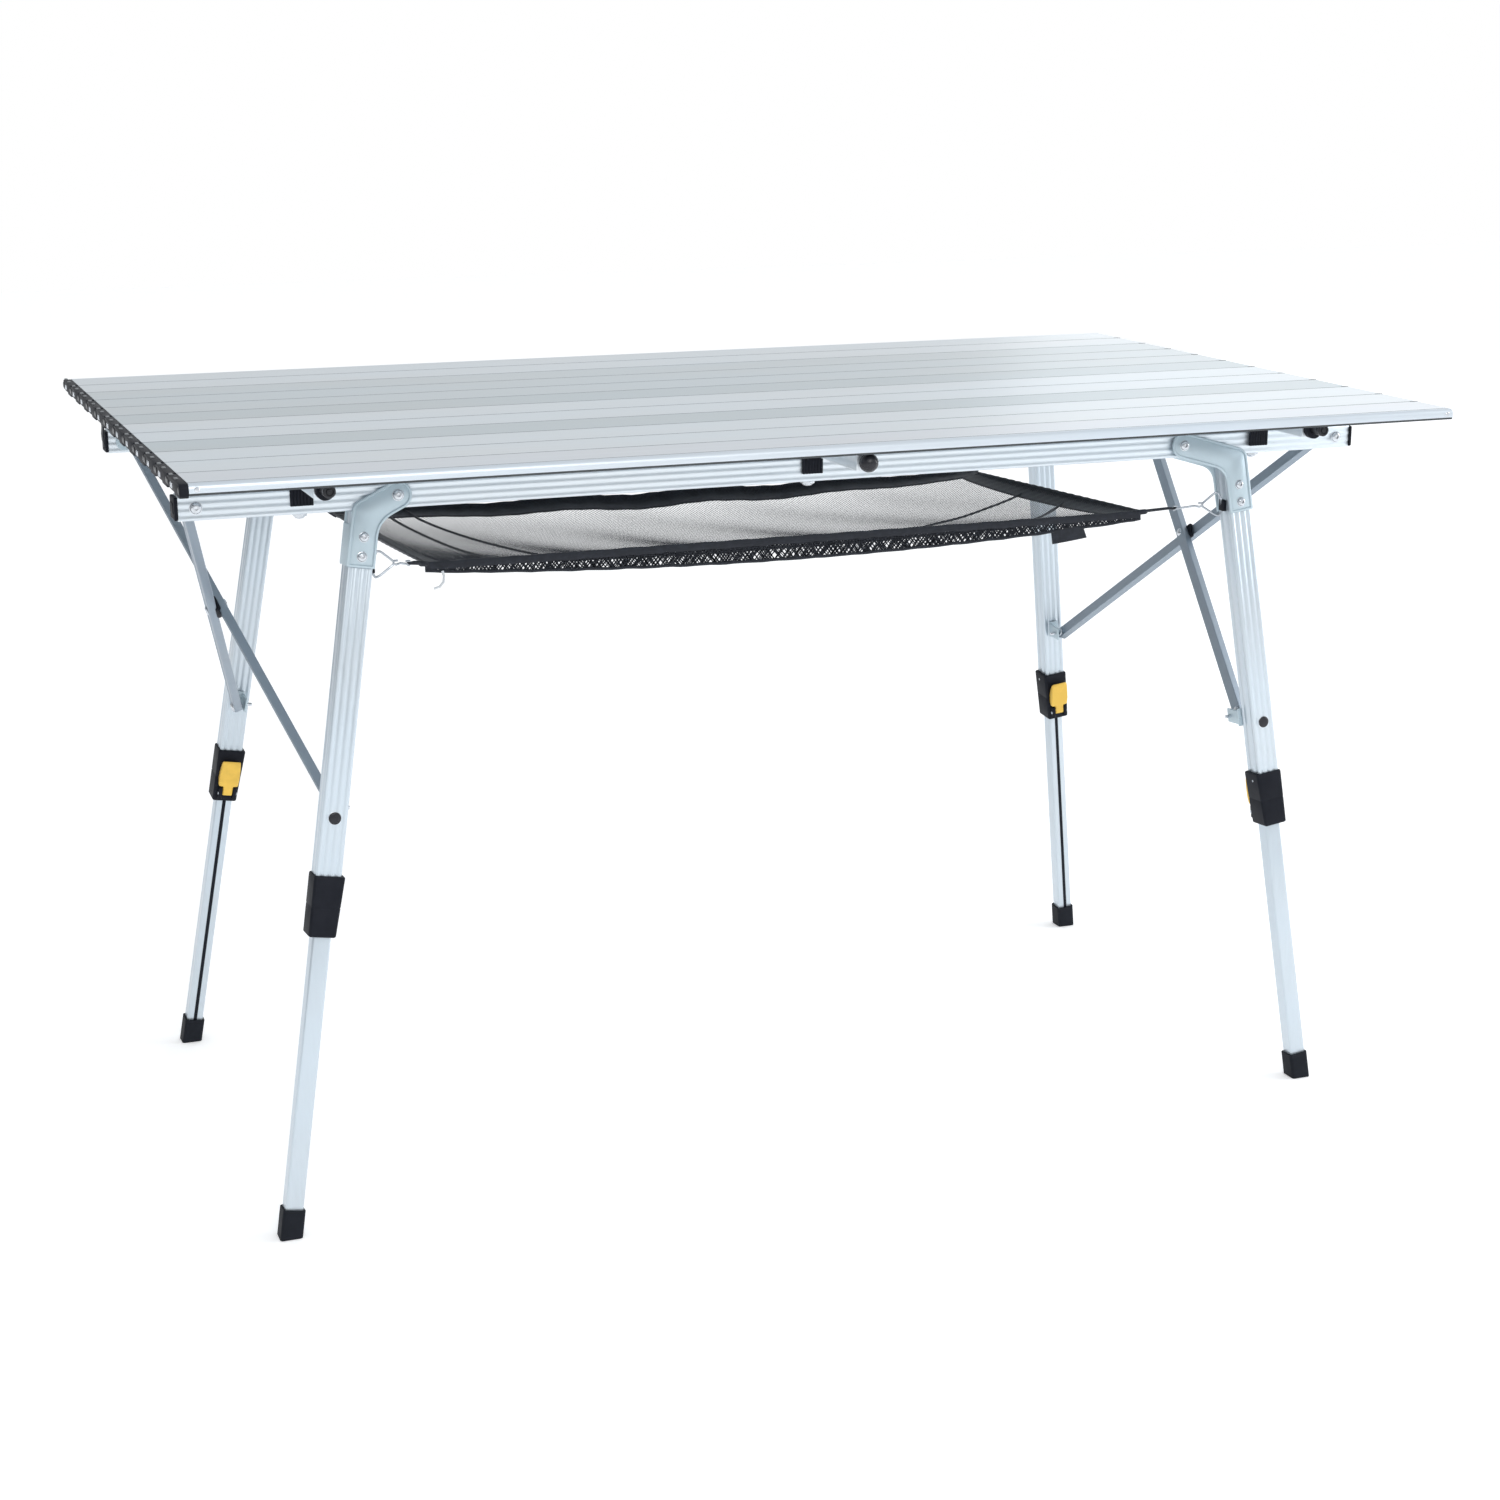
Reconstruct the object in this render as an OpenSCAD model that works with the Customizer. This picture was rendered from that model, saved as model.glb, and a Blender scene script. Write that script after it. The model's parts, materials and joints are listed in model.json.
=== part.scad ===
// Roll-top camp kitchen table with a folding, height-adjustable frame.
// Origin: floor, middle of the table top. +X runs along the table, +Y to its back, +Z up.

/* [Table top] */
// Length of the top
top_l = 1196; // [1100:1:1300]
// Height of the top above the floor, legs fully out
top_h = 700; // [690:1:710]
// Number of slats across the top
slat_n = 12; // [12]
// Pitch of the slats
slat_pitch = 58.83; // [56:0.01:60]
// Thickness of a slat
slat_t = 9.8; // [8:0.1:12]
// Wall of a slat's hollow section
slat_wall = 1.0; // [0.8:0.1:1.5]
// Length of the black hinge piece on a slat's left end
link_l = 7.5; // [6:0.5:10]

/* [Frame] */
// Length of a rail, without its end caps
rail_l = 1156; // [1100:1:1180]
// Distance of each rail's centre from the middle of the table
rail_y = 202; // [198:0.5:206]
// Width of a rail
rail_w = 20; // [19:0.5:20]
// Height of a rail
rail_h = 22; // [20:0.5:22]
// Height of the rails' centre line
rail_z = 656; // [654:0.5:657]
// Distance from the middle to an outer cross bar
bar_x = 473; // [465:1:480]
// Side of a cross bar's square section
bar_w = 17; // [15:0.5:18]
// Reach of an outer cross bar from the middle
bar_reach = 303; // [295:1:310]
// Reach of the centre cross bar from the middle
centre_reach = 334; // [325:1:340]

/* [Legs] */
// Distance from the middle to a leg's pivot
pivot_x = 389.3; // [385:0.1:392]
// Offset of a left leg's axis from its pivot
off_left = 26.4; // [26:0.1:27]
// Offset of a right leg's axis from its pivot
off_right = 55.9; // [55:0.1:57]
// Splay of the left legs along the table, in degrees
splay_left = 9.2; // [8.5:0.1:9.5]
// Splay of the right legs along the table, in degrees
splay_right = 7.3; // [7:0.1:8]
// Splay of all legs to the front or back, in degrees
tilt = 4.9; // [4.5:0.1:5]
// Width of an upper leg tube along the table
upper_w = 23; // [22:0.5:23]
// Depth of an upper leg tube
upper_d = 22; // [21:0.5:22]
// Width of a lower leg tube along the table
lower_w = 16.6; // [15:0.1:17]
// Depth of a lower leg tube
lower_d = 15.6; // [14:0.1:16]
// Distance from the pivot height to a clamp's top, along the leg
clamp_s = 335; // [330:1:340]
// Length of a clamp
clamp_l = 55; // [50:1:60]

/* [Braces] */
// Distance from the pivot height to a brace's lower joint, along the leg
lug_s = 279; // [275:1:285]
// Distance of a brace's lower joint from the leg's axis
lug_in = 26; // [25:0.5:28]
// Width of a brace
brace_w = 12; // [10:0.5:13]
// Thickness of a brace
brace_t = 8; // [6:0.5:8]
// Distance from a rail's end to its end bolt
end_in = 15; // [14:0.5:18]

/* [Net shelf] */
// Half the length of the net
net_x = 360; // [330:1:365]
// Half the width of the net
net_y = 187; // [165:1:188]
// Height of the net's long edges
net_z = 588; // [580:1:600]
// Sag of the net in the middle
net_sag = 34; // [20:1:40]

/* [Hidden] */
$fn = 48;

silver = "#c9d2d6";
pale = "#b4c3ca";
steel = "#8b98a2";
black = "#17181c";
yellow = "#e8c04a";

slat_gap = 0.4;
nose_r = 3;
top_w = slat_n * slat_pitch;
slat_z = top_h - slat_t;
rail_top = rail_z + rail_h / 2;
rail_bottom = rail_z - rail_h / 2;
tube_wall = 1.5;
air = 0.3;
slack = 0.05;

// Cross bars lie between the slats and the pads on the rails.
bar_top = slat_z - air;
bar_bottom = bar_top - bar_w;
pad_top = bar_bottom - air;
pad_w = 20;
bolt_r = 3;
nut_r = 5.5;
nut_h = 4.5;
cheek_w = 20.6;
collar_r = 8.4;
collar_h = 9;
peg_r = 5.5;
peg_l = 24;
ball_r = 8.5;

// Elbow brackets.
plate_t = 2.5;
plate_in = 11.6;
arm_r = 12.5;
bolt_a = 35;
bolt_pitch = 17.2;
plate_end = 9.5;
right_drop = 6.5;
leg_bolt_r = 2.5;
elbow_left = 14;
elbow_right = 17;

// Legs, measured along the leg down from the pivot's height.
upper_top = 14.5;
clamp_floor = 25;
upper_bottom = clamp_s + clamp_l - clamp_floor;
lower_top = 321;
foot_h = 26;
foot_w = 20.5;
foot_d = 19.5;
clamp_in = 14.8;
clamp_out = 13.3;
clamp_d = 26;
clamp_taper = 3.2;
jaw_t = 3.8;
slot_w = 3.4;
lever_s = 45.3;
lever_w = 20.5;
lever_l = 36;
lever_t = 3.8;
lever_r = 2.6;
stem_w = 10;
stem_l = 8;

// Braces and their swivels.
end_x = rail_l / 2 - end_in;
hang_in = 12;
brace_side = 5;
pin_r = 2.4;
lug_gap = 3.7;
ear_t = 2.5;

function left_side(side) = side < 0;
function off(side) = left_side(side) ? off_left : off_right;
function splay(side) = left_side(side) ? splay_left : splay_right;
function drop(side) = left_side(side) ? 0 : right_drop;
function elbow(side) = left_side(side) ? elbow_left : elbow_right;
function plate_s(side) = bolt_a + drop(side) + bolt_pitch + plate_end;
function leg_length(side) = rail_z / (cos(splay(side)) * cos(tilt));

// A point beside a back leg: s down along the leg, depth outward from its axis.
function leg_point(side, s, depth) = [
    pivot_x + off(side) + s * sin(splay(side)),
    rail_y + s * cos(splay(side)) * sin(tilt) + depth * cos(tilt),
    rail_z - s * cos(splay(side)) * cos(tilt) + depth * sin(tilt)
];
hang_y = rail_y - rail_w / 2 - hang_in;
function brace_run(side) = leg_point(side, lug_s, -lug_in) - [end_x, -hang_y, rail_z];
function brace_l(side) = norm(brace_run(side));
function brace_swing(side) = atan2(-brace_run(side)[0], -brace_run(side)[2]);
function brace_lean(side) = asin(brace_run(side)[1] / brace_l(side));

module flip_x(on) {
    if (on) mirror([1, 0, 0]) children();
    else children();
}

module flip_y(on) {
    if (on) mirror([0, 1, 0]) children();
    else children();
}

// A rectangle with round corners, centred.
module round_rect(w, h, r) {
    square([w - 2 * r, h], center = true);
    square([w, h - 2 * r], center = true);
    for (i = [-1, 1], j = [-1, 1])
        translate([i * (w / 2 - r), j * (h / 2 - r)]) circle(r, $fn = 24);
}

// A tube's section with shallow grooves in both of its broad faces.
module grooved_section(w, h, wall) {
    groove_w = 2.2;
    groove_d = 0.5;
    difference() {
        round_rect(w, h, 1.6);
        square([w - 2 * wall - 1, h - 2 * wall - 1], center = true);
        for (i = [-1, 0, 1], j = [-1, 1])
            translate([i * w * 0.26, j * h / 2]) square([groove_w, 2 * groove_d], center = true);
    }
}

// Places its children in a leg's plane, with the origin at the leg's pivot:
// +X outward along the table, +Y outward to the front or back, +Z up.
module leg_place(side, row) {
    translate([side * pivot_x, row * rail_y, rail_z])
        flip_x(side < 0) flip_y(row < 0) rotate([tilt, 0, 0]) children();
}

// The same, turned along the leg's axis.
module leg_axis(side, row) {
    leg_place(side, row) translate([off(side), 0, 0]) rotate([0, -splay(side), 0]) children();
}

// A cylinder along Y between two depths.
module y_pin(r, y1, y2) {
    translate([0, y2, 0]) rotate([90, 0, 0]) cylinder(r = r, h = y2 - y1);
}

// A low domed bolt head that stands outward from depth y1.
module bolt_head(r, y1, h) {
    y_pin(r, y1, y1 + h * 0.6);
    y_pin(r * 0.72, y1 + h * 0.6 - 0.01, y1 + h);
}

// A bolt along Y with a domed head at each end of a stack that is 2 * half deep.
module through_bolt(r, half) {
    y_pin(r, -half - 0.5, half + 0.5);
    bolt_head(r + 2, half + 0.02, 2.6);
    mirror([0, 1, 0]) bolt_head(r + 2, half + 0.02, 2);
}

// ---- Table top ----

module slat_section(first) {
    w = slat_pitch - slat_gap;
    lip = 6;
    difference() {
        if (first) {
            translate([nose_r, 0]) square([w - nose_r, slat_t]);
            square([w, slat_t - nose_r]);
            translate([nose_r, slat_t - nose_r]) circle(nose_r);
        } else {
            square([w, slat_t]);
        }
        translate([first ? nose_r : slat_wall, slat_wall])
            square([w - slat_wall - (first ? nose_r : slat_wall), slat_t - 2 * slat_wall]);
        translate([lip, -1]) square([w - 2 * lip, 2 * slat_wall]);
    }
}

// One slat of the top with the hinge piece on its left end.
module slat(i) {
    y0 = -top_w / 2 + (i - 1) * slat_pitch + slat_gap / 2;
    tube_l = top_l - link_l - 0.02;
    color(silver) translate([top_l / 2 - tube_l, y0, slat_z])
        rotate([90, 0, 90]) linear_extrude(tube_l) slat_section(i == 1);
    color(black) translate([-top_l / 2, y0, slat_z])
        difference() {
            cube([link_l, slat_pitch - slat_gap, slat_t - 0.2]);
            translate([-1, slat_pitch * 0.32, -1]) cube([4, slat_pitch * 0.34, 4]);
        }
}

module closing_strap() {
    color(black) {
        translate([-top_l / 2 + 1, 78, slat_z - 22]) cube([1.4, 9, 21.8]);
        translate([-top_l / 2 + 1, 78, slat_z - 1.7]) cube([26, 9, 1.5]);
    }
}

// ---- Rails ----

module rail(row) {
    color(silver) difference() {
        translate([-rail_l / 2, row * rail_y, rail_z])
            rotate([90, 0, 90]) linear_extrude(rail_l) rotate(90) grooved_section(rail_h, rail_w, tube_wall);
        for (x = [-end_x, end_x])
            translate([x, row * rail_y, rail_z]) y_pin(bolt_r + slack, -rail_w, rail_w);
        for (x = [-pivot_x, pivot_x])
            translate([x, row * rail_y, rail_z]) rotate([row * tilt, 0, 0]) y_pin(bolt_r + slack, -rail_w, rail_w);
        for (x = [-bar_x, 0, bar_x])
            translate([x, row * rail_y, rail_bottom - 1]) cylinder(r = bolt_r + slack, h = rail_h + 2);
    }
}

// End caps of a rail and the pads on which the cross bars lie.
module rail_plastics(row) {
    cap_t = 3;
    lip_t = 3;
    pad_base = rail_top + 0.02;
    color(black) {
        for (side = [-1, 1])
            translate([side * (rail_l / 2 + cap_t / 2 + 0.02), row * rail_y, rail_z])
                cube([cap_t, rail_w, rail_h], center = true);
        for (x = [-bar_x, 0, bar_x])
            translate([x, row * rail_y, 0]) flip_y(row < 0) difference() {
                union() {
                    translate([-pad_w / 2, -rail_w / 2, pad_base])
                        cube([pad_w, rail_w + lip_t, pad_top - pad_base]);
                    translate([-pad_w / 2, rail_w / 2 + 0.02, rail_z - 3.4])
                        cube([pad_w, lip_t, pad_top - rail_z + 3.4]);
                }
                translate([0, 0, rail_z]) cylinder(r = bolt_r + slack, h = 30);
            }
    }
}

// A cross bar turns on the tall bolts, and rests beside the short ones.
function bar_row(x) = x > 0 ? 1 : -1;

module rail_bolts(row) {
    color(pale) {
        for (x = [-bar_x, 0, bar_x]) {
            tall = bar_row(x) == row;
            shank_top = tall ? bar_top - 0.2 : pad_top - 0.2;
            translate([x, row * rail_y, 0]) {
                translate([0, 0, rail_bottom - nut_h]) cylinder(r = bolt_r, h = shank_top - rail_bottom + nut_h);
                translate([0, 0, rail_bottom - nut_h + 1.5]) cylinder(r = nut_r, h = nut_h - 1.52, $fn = 6);
            }
        }
        for (x = [-end_x, end_x])
            translate([x, row * rail_y, rail_z]) flip_y(row < 0) {
                y_pin(bolt_r, -rail_w / 2 - 2, rail_w / 2 + 0.1);
                bolt_head(5, rail_w / 2 + 0.02, 2.4);
            }
    }
}

// ---- Cross bars ----

module cross_bar(x) {
    reach = x == 0 ? centre_reach : bar_reach;
    color(silver) difference() {
        translate([x, reach, bar_bottom + bar_w / 2])
            rotate([90, 0, 0]) linear_extrude(2 * reach) difference() {
                round_rect(bar_w, bar_w, 1.4);
                square(bar_w - 2 * tube_wall, center = true);
            }
        translate([x, bar_row(x) * rail_y, bar_bottom - 1]) cylinder(r = bolt_r + slack, h = bar_w + 2);
    }
}

// The black cheeks beside a cross bar over both rails, and what ends the bar.
module bar_ends(x) {
    reach = x == 0 ? centre_reach : bar_reach;
    cheek_t = (cheek_w - bar_w) / 2 - 0.02;
    cheek_h = 15;
    for (row = [-1, 1]) {
        color(black) for (side = [-1, 1])
            translate([x + side * (bar_w / 2 + 0.02 + cheek_t / 2), row * (rail_y + 1.5), bar_bottom + cheek_h / 2])
                cube([cheek_t, rail_w + 3, cheek_h], center = true);
        translate([x, row * (reach + 0.02), bar_bottom + bar_w / 2]) flip_y(row < 0) {
            if (x == 0) {
                color(black) difference() {
                    translate([0, ball_r - 1, 0]) sphere(ball_r);
                    translate([-20, -20, -20]) cube([40, 20, 40]);
                }
            } else {
                color(black) {
                    translate([0, 0, -1.5]) y_pin(collar_r - 1.3, 0, 2.01);
                    translate([0, 0, -0.5]) y_pin(collar_r - 0.4, 2, collar_h);
                    translate([0, 0, 1]) y_pin(peg_r, collar_h - 0.01, peg_l);
                }
            }
        }
    }
}

// ---- Elbow brackets ----

// The elbow's outline: round at the pivot and the bend, with a soft inner corner.
module bracket_outline(side) {
    steps = 12;
    slope = splay(side);
    down = [sin(slope), -cos(slope)];
    across = [cos(slope), sin(slope)];
    bend = [off(side) + elbow(side) * tan(slope), -elbow(side)];
    arm = atan2(bend[1], bend[0]);
    foot = [off(side), 0] + plate_s(side) * down;
    // Where the arm's lower edge meets the leg's inner edge.
    start = bend - arm_r * across;
    under = arm_r * [sin(arm), -cos(arm)];
    reach = cross([cos(arm), sin(arm)], under - start) / cross([cos(arm), sin(arm)], down);
    corner = start + reach * down;
    into = corner - 13 * [cos(arm), sin(arm)];
    out = corner + 13 * down;
    difference() {
        polygon(concat(
            [for (i = [0:steps]) let (a = arm - 90 - 180 * i / steps) arm_r * [cos(a), sin(a)]],
            [for (i = [0:steps]) let (a = arm + 90 - (arm + 90 - slope) * i / steps) bend + arm_r * [cos(a), sin(a)]],
            [foot + arm_r * across, foot - arm_r * across],
            [for (i = [0:steps]) let (t = i / steps) pow(1 - t, 2) * out + 2 * t * (1 - t) * corner + t * t * into]
        ));
        for (a = [bolt_a, bolt_a + bolt_pitch])
            translate([off(side), 0] + (a + drop(side)) * down) circle(leg_bolt_r + slack);
        circle(bolt_r + slack);
    }
}

// Two plates that clasp the rail and the leg, a side wall, the pivot pin and two leg bolts.
module bracket(side, row) {
    wall_t = 2;
    wall_l = bolt_pitch + plate_end + 8;
    color(pale) leg_place(side, row) {
        for (y = [plate_in, -plate_in - plate_t])
            translate([0, y + plate_t, 0]) rotate([90, 0, 0]) linear_extrude(plate_t) bracket_outline(side);
        translate([off(side), 0, 0]) rotate([0, -splay(side), 0])
            translate([arm_r - 0.5, -plate_in - plate_t, -plate_s(side)])
                cube([wall_t, 2 * (plate_in + plate_t), wall_l]);
    }
    color("silver") {
        leg_place(side, row) through_bolt(bolt_r, plate_in + plate_t);
        leg_axis(side, row) for (a = [bolt_a, bolt_a + bolt_pitch])
            translate([0, 0, -a - drop(side)]) through_bolt(leg_bolt_r, plate_in + plate_t);
    }
}

// ---- Legs ----

module upper_leg(side, row) {
    color(silver) leg_axis(side, row) difference() {
        translate([0, 0, -upper_bottom]) linear_extrude(upper_bottom - upper_top)
            grooved_section(upper_w, upper_d, tube_wall);
        for (a = [bolt_a, bolt_a + bolt_pitch])
            translate([0, 0, -a - drop(side)]) y_pin(leg_bolt_r + slack, -20, 20);
    }
    // The lug that takes the brace, on the inner face, and the bolt's black plug on the outer one.
    color(pale) leg_axis(side, row) {
        lug_x = (row < 0 ? -brace_side : brace_side) - brace_t / 2 - lug_gap;
        translate([lug_x - ear_t, -lug_in - 6, -lug_s - 7]) cube([ear_t, lug_in + 6 - upper_d / 2 - 2, 14]);
        translate([lug_x - ear_t, -upper_d / 2 - 2.02, -lug_s - 9]) cube([11, 2, 18]);
    }
    color(black) leg_axis(side, row) translate([0, 0, -lug_s - 4]) bolt_head(4.8, upper_d / 2 + 0.02, 2.2);
}

// The collar that clamps the lower tube, tapered on its inner face, with the lever's two cheeks.
module clamp(side, row) {
    turn = atan(clamp_taper / clamp_l);
    color(black) leg_axis(side, row) translate([0, 0, -clamp_s - clamp_l]) difference() {
        union() {
            translate([(clamp_out - clamp_in) / 2, 0, 0])
                linear_extrude(clamp_l) round_rect(clamp_out + clamp_in, clamp_d, 2.5);
            for (x = [-1, 1])
                translate([x * (stem_w + jaw_t + 2 * air) / 2, -clamp_d / 2 - 2.4, clamp_l - lever_s])
                    cube([jaw_t, 6.8, 12], center = true);
        }
        translate([0, 0, clamp_floor - 0.2])
            linear_extrude(clamp_l) square([upper_w + 0.1, upper_d + 0.1], center = true);
        translate([0, 0, -1]) linear_extrude(clamp_l) square([lower_w + 0.6, lower_d + 0.6], center = true);
        translate([-clamp_in, 0, clamp_l]) rotate([0, -turn, 0])
            translate([-10, 0, -clamp_l]) cube([20, 2 * clamp_d, 2.2 * clamp_l], center = true);
    }
}

// A lever that turns between the cheeks at its foot and stands up flat against the collar.
module cam_lever(side, row) {
    color(yellow) leg_axis(side, row) translate([0, -clamp_d / 2 - lever_r - air, -clamp_s - lever_s]) {
        rotate([0, 90, 0]) cylinder(r = lever_r, h = stem_w, center = true);
        translate([-stem_w / 2, 0.4 - lever_r, 0]) cube([stem_w, lever_t, stem_l + 1]);
        translate([-lever_w / 2, 0.4 - lever_r, stem_l]) cube([lever_w, lever_t, lever_l - stem_l]);
    }
}

module lower_leg(side, row) {
    bottom = leg_length(side) - 6;
    color(silver) leg_axis(side, row) translate([0, 0, -bottom]) linear_extrude(bottom - lower_top)
        difference() {
            round_rect(lower_w, lower_d, 1.4);
            square([lower_w - 2 * tube_wall - 0.8, lower_d - 2 * tube_wall - 0.8], center = true);
            translate([0, -lower_d / 2]) square([slot_w, 1], center = true);
        }
}

module foot(side, row) {
    length = leg_length(side);
    color(black) intersection() {
        leg_axis(side, row) translate([0, 0, -length - 6]) difference() {
            linear_extrude(foot_h + 6) round_rect(foot_w, foot_d, 3);
            translate([0, 0, 12.02]) linear_extrude(foot_h + 6) square([lower_w + 0.04, lower_d + 0.04], center = true);
        }
        translate([side * 520, row * 260, 100]) cube([200, 200, 200], center = true);
    }
}

// ---- Braces ----

module brace_place(side, row) {
    translate([side * end_x, row * hang_y, rail_z])
        flip_x(side < 0) flip_y(row > 0) rotate([0, brace_swing(side), 0]) children();
}

function brace_x(row) = row < 0 ? brace_side : -brace_side;

// The swivel on a rail's end bolt, with the pin on which the brace leans.
module swivel(side, row) {
    ear_x = row < 0 ? -brace_t / 2 + brace_side - 0.4 - ear_t : brace_t / 2 - brace_side + 0.4;
    pin_end = row < 0 ? 1 : -1;
    color(pale) brace_place(side, row) {
        difference() {
            y_pin(8, -hang_in + 0.4, -hang_in + 2.9);
            y_pin(bolt_r + slack, -hang_in - 1, hang_in);
        }
        translate([ear_x, -hang_in + 2.4, -5]) cube([ear_t, hang_in + 2.6, 10]);
        translate([ear_x + ear_t / 2, 0, 0]) rotate([0, pin_end * 90, 0]) {
            cylinder(r = pin_r, h = brace_t + ear_t / 2 + 1.2);
            translate([0, 0, brace_t + ear_t / 2 + 0.8]) cylinder(r = 4, h = 1.4);
        }
    }
}

module brace(side, row) {
    length = brace_l(side);
    color(steel) brace_place(side, row) rotate([brace_lean(side), 0, 0])
        translate([brace_x(row) - brace_t / 2, 0, 0]) {
            difference() {
                union() {
                    translate([0, -brace_w / 2, -length]) cube([brace_t, brace_w, length]);
                    for (z = [0, -length])
                        translate([0, 0, z]) rotate([0, 90, 0]) cylinder(r = brace_w / 2, h = brace_t);
                }
                translate([-1, 0, 0]) rotate([0, 90, 0]) cylinder(r = pin_r + slack, h = brace_t + 2);
                for (x = [0, brace_t])
                    translate([x - 0.5, -brace_w / 2 + 3, -length + 14]) cube([1, brace_w - 6, length - 28]);
            }
            translate([-lug_gap + 1.1, 0, -length]) rotate([0, 90, 0]) cylinder(r = pin_r, h = brace_t);
            translate([brace_t, 0, -length]) rotate([0, 90, 0]) cylinder(r = 4.2, h = 1.8);
        }
}

// ---- Net shelf ----

net_t = 1.6;
hem_w = 22;
sag_steps = 16;
function sag_z(y, half) = -net_sag * (1 - pow(y / half, 2));

module net_shelf() {
    half = net_y - hem_w;
    curve = [for (i = [0:sag_steps]) let (y = -half + 2 * half * i / sag_steps) [y, sag_z(y, half)]];
    back = [for (i = [sag_steps:-1:0]) [curve[i][0], curve[i][1] + net_t]];
    color(black) translate([-net_x + hem_w, 0, net_z]) rotate([90, 0, 90])
        linear_extrude(2 * (net_x - hem_w)) polygon(concat(curve, back));
}

module net_hem() {
    color(black) for (row = [-1, 1])
        translate([-net_x, row > 0 ? net_y - hem_w + 0.02 : -net_y, net_z - 2]) cube([2 * net_x, hem_w - 0.02, 4]);
}

// A wire hook at each corner, from the hem to the leg.
module net_hooks() {
    wire = 1.1;
    color("silver") for (side = [-1, 1], row = [-1, 1]) {
        hook_x = side < 0 ? 408 : 440;
        length = hook_x - net_x;
        translate([side * (net_x + length / 2), row * (net_y - 2), net_z + 3])
            rotate([0, 90, 0]) cylinder(r = wire, h = length - 1, center = true);
    }
}

for (i = [1:slat_n]) {
    slat(i);
}
closing_strap();
rail(-1);  // front_rail
rail(1);  // back_rail
rail_plastics(-1);  // front_rail_plastics
rail_plastics(1);  // back_rail_plastics
rail_bolts(-1);  // front_rail_bolts
rail_bolts(1);  // back_rail_bolts
cross_bar(-bar_x);  // cross_bar_left
cross_bar(0);  // cross_bar_centre
cross_bar(bar_x);  // cross_bar_right
bar_ends(-bar_x);  // bar_ends_left
bar_ends(0);  // bar_ends_centre
bar_ends(bar_x);  // bar_ends_right
net_shelf();
net_hem();
net_hooks();
for (row = [-1, 1], side = [-1, 1]) {
    place = str(row < 0 ? "front" : "back", side < 0 ? "_left" : "_right");
    bracket(side, row);
    upper_leg(side, row);
    clamp(side, row);
    cam_lever(side, row);
    lower_leg(side, row);
    foot(side, row);
    swivel(side, row);
    brace(side, row);
}
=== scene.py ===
"""Looks of a roll-top camp kitchen table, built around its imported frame.

Pieces are laid out in millimetres in the same local frames as the CAD, and their
meshes are written in metres. +X runs along the table, +Y to its back, +Z up.
"""

import json
import math
import random
from math import cos, pi, radians, sin

import bmesh
import bpy
from mathutils import Matrix, Vector
from mathutils.geometry import intersect_line_line


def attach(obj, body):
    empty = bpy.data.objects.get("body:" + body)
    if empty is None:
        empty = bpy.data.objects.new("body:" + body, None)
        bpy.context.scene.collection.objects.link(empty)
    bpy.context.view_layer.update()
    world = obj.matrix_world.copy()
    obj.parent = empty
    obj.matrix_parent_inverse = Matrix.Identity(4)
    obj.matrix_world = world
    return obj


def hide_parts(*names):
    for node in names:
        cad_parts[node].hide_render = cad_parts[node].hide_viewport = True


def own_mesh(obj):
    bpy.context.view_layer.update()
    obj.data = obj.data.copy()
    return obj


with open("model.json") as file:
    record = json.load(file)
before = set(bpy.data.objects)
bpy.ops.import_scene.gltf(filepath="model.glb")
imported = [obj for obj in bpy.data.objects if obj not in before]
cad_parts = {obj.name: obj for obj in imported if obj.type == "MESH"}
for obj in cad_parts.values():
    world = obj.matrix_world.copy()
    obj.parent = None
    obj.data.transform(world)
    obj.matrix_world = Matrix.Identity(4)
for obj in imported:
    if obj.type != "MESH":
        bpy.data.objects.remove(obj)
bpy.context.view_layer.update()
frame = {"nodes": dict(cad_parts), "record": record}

MM = 0.001
METRES = Matrix.Scale(MM, 4)
UP = Vector((0, 0, 1))
NODES = frame["nodes"]
BODIES = frame["record"]["behaviour"]["bodies"]
ROWS = {"front": -1, "back": 1}
SIDES = {"left": -1, "right": 1}
CORNERS = [(row, side) for row in ROWS for side in SIDES]

# Sizes of the frame, in mm and degrees, as in the CAD. In a {-1: a, 1: b} pair, a is the left's.
TOP_L, TOP_H = 1196.0, 700.0  # the top's length, and its height above the floor
SLAT_N, PITCH, SLAT_T, LINK_L = 12, 58.83, 9.8, 7.5
RAIL_L, RAIL_W, RAIL_H = 1156.0, 20.0, 22.0
RAIL_Y, RAIL_Z = 202.0, 656.0  # the rails' centre lines
BAR_X, BAR_W = 473.0, 17.0  # the outer cross bars' place, and their square section
BAR_REACH, CENTRE_REACH = 303.0, 334.0  # half the length of the outer bars and of the centre one
PIVOT_X, TILT = 389.3, 4.9  # the legs' pivots, and their lean to the front or back
OFF, DROP = {-1: 26.4, 1: 55.9}, {-1: 0.0, 1: 6.5}
SPLAY, ELBOW = {-1: 9.2, 1: 7.3}, {-1: 14.0, 1: 17.0}
UPPER_W, UPPER_D, LOWER_W, LOWER_D = 23.0, 22.0, 16.6, 15.6
CLAMP_S, CLAMP_L, CLAMP_D = 335.0, 55.0, 26.0  # a clamp's place down the leg, length and depth
CLAMP_IN, CLAMP_OUT, TAPER = 14.8, 13.3, 3.2
LEVER_S, STEM_W = 45.3, 10.0  # a lever's pivot down the clamp, and its stem's width
LUG_S, LUG_IN = 279.0, 26.0  # the brace's lower end: down the leg, and inward
END_X, HANG_IN = 563.0, 12.0  # the brace's upper end: along the rail, and inward
PLATE_IN, PLATE_T, ARM_R = 11.6, 2.5, 12.5  # elbow plates
BOLT_A, BOLT_PITCH, PLATE_END = 35.0, 17.2, 9.5
BRACE_W, BRACE_T, BRACE_SIDE = 12.0, 8.0, 5.0
NET_X, NET_Y, NET_Z = 360.0, 187.0, 588.0
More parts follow.
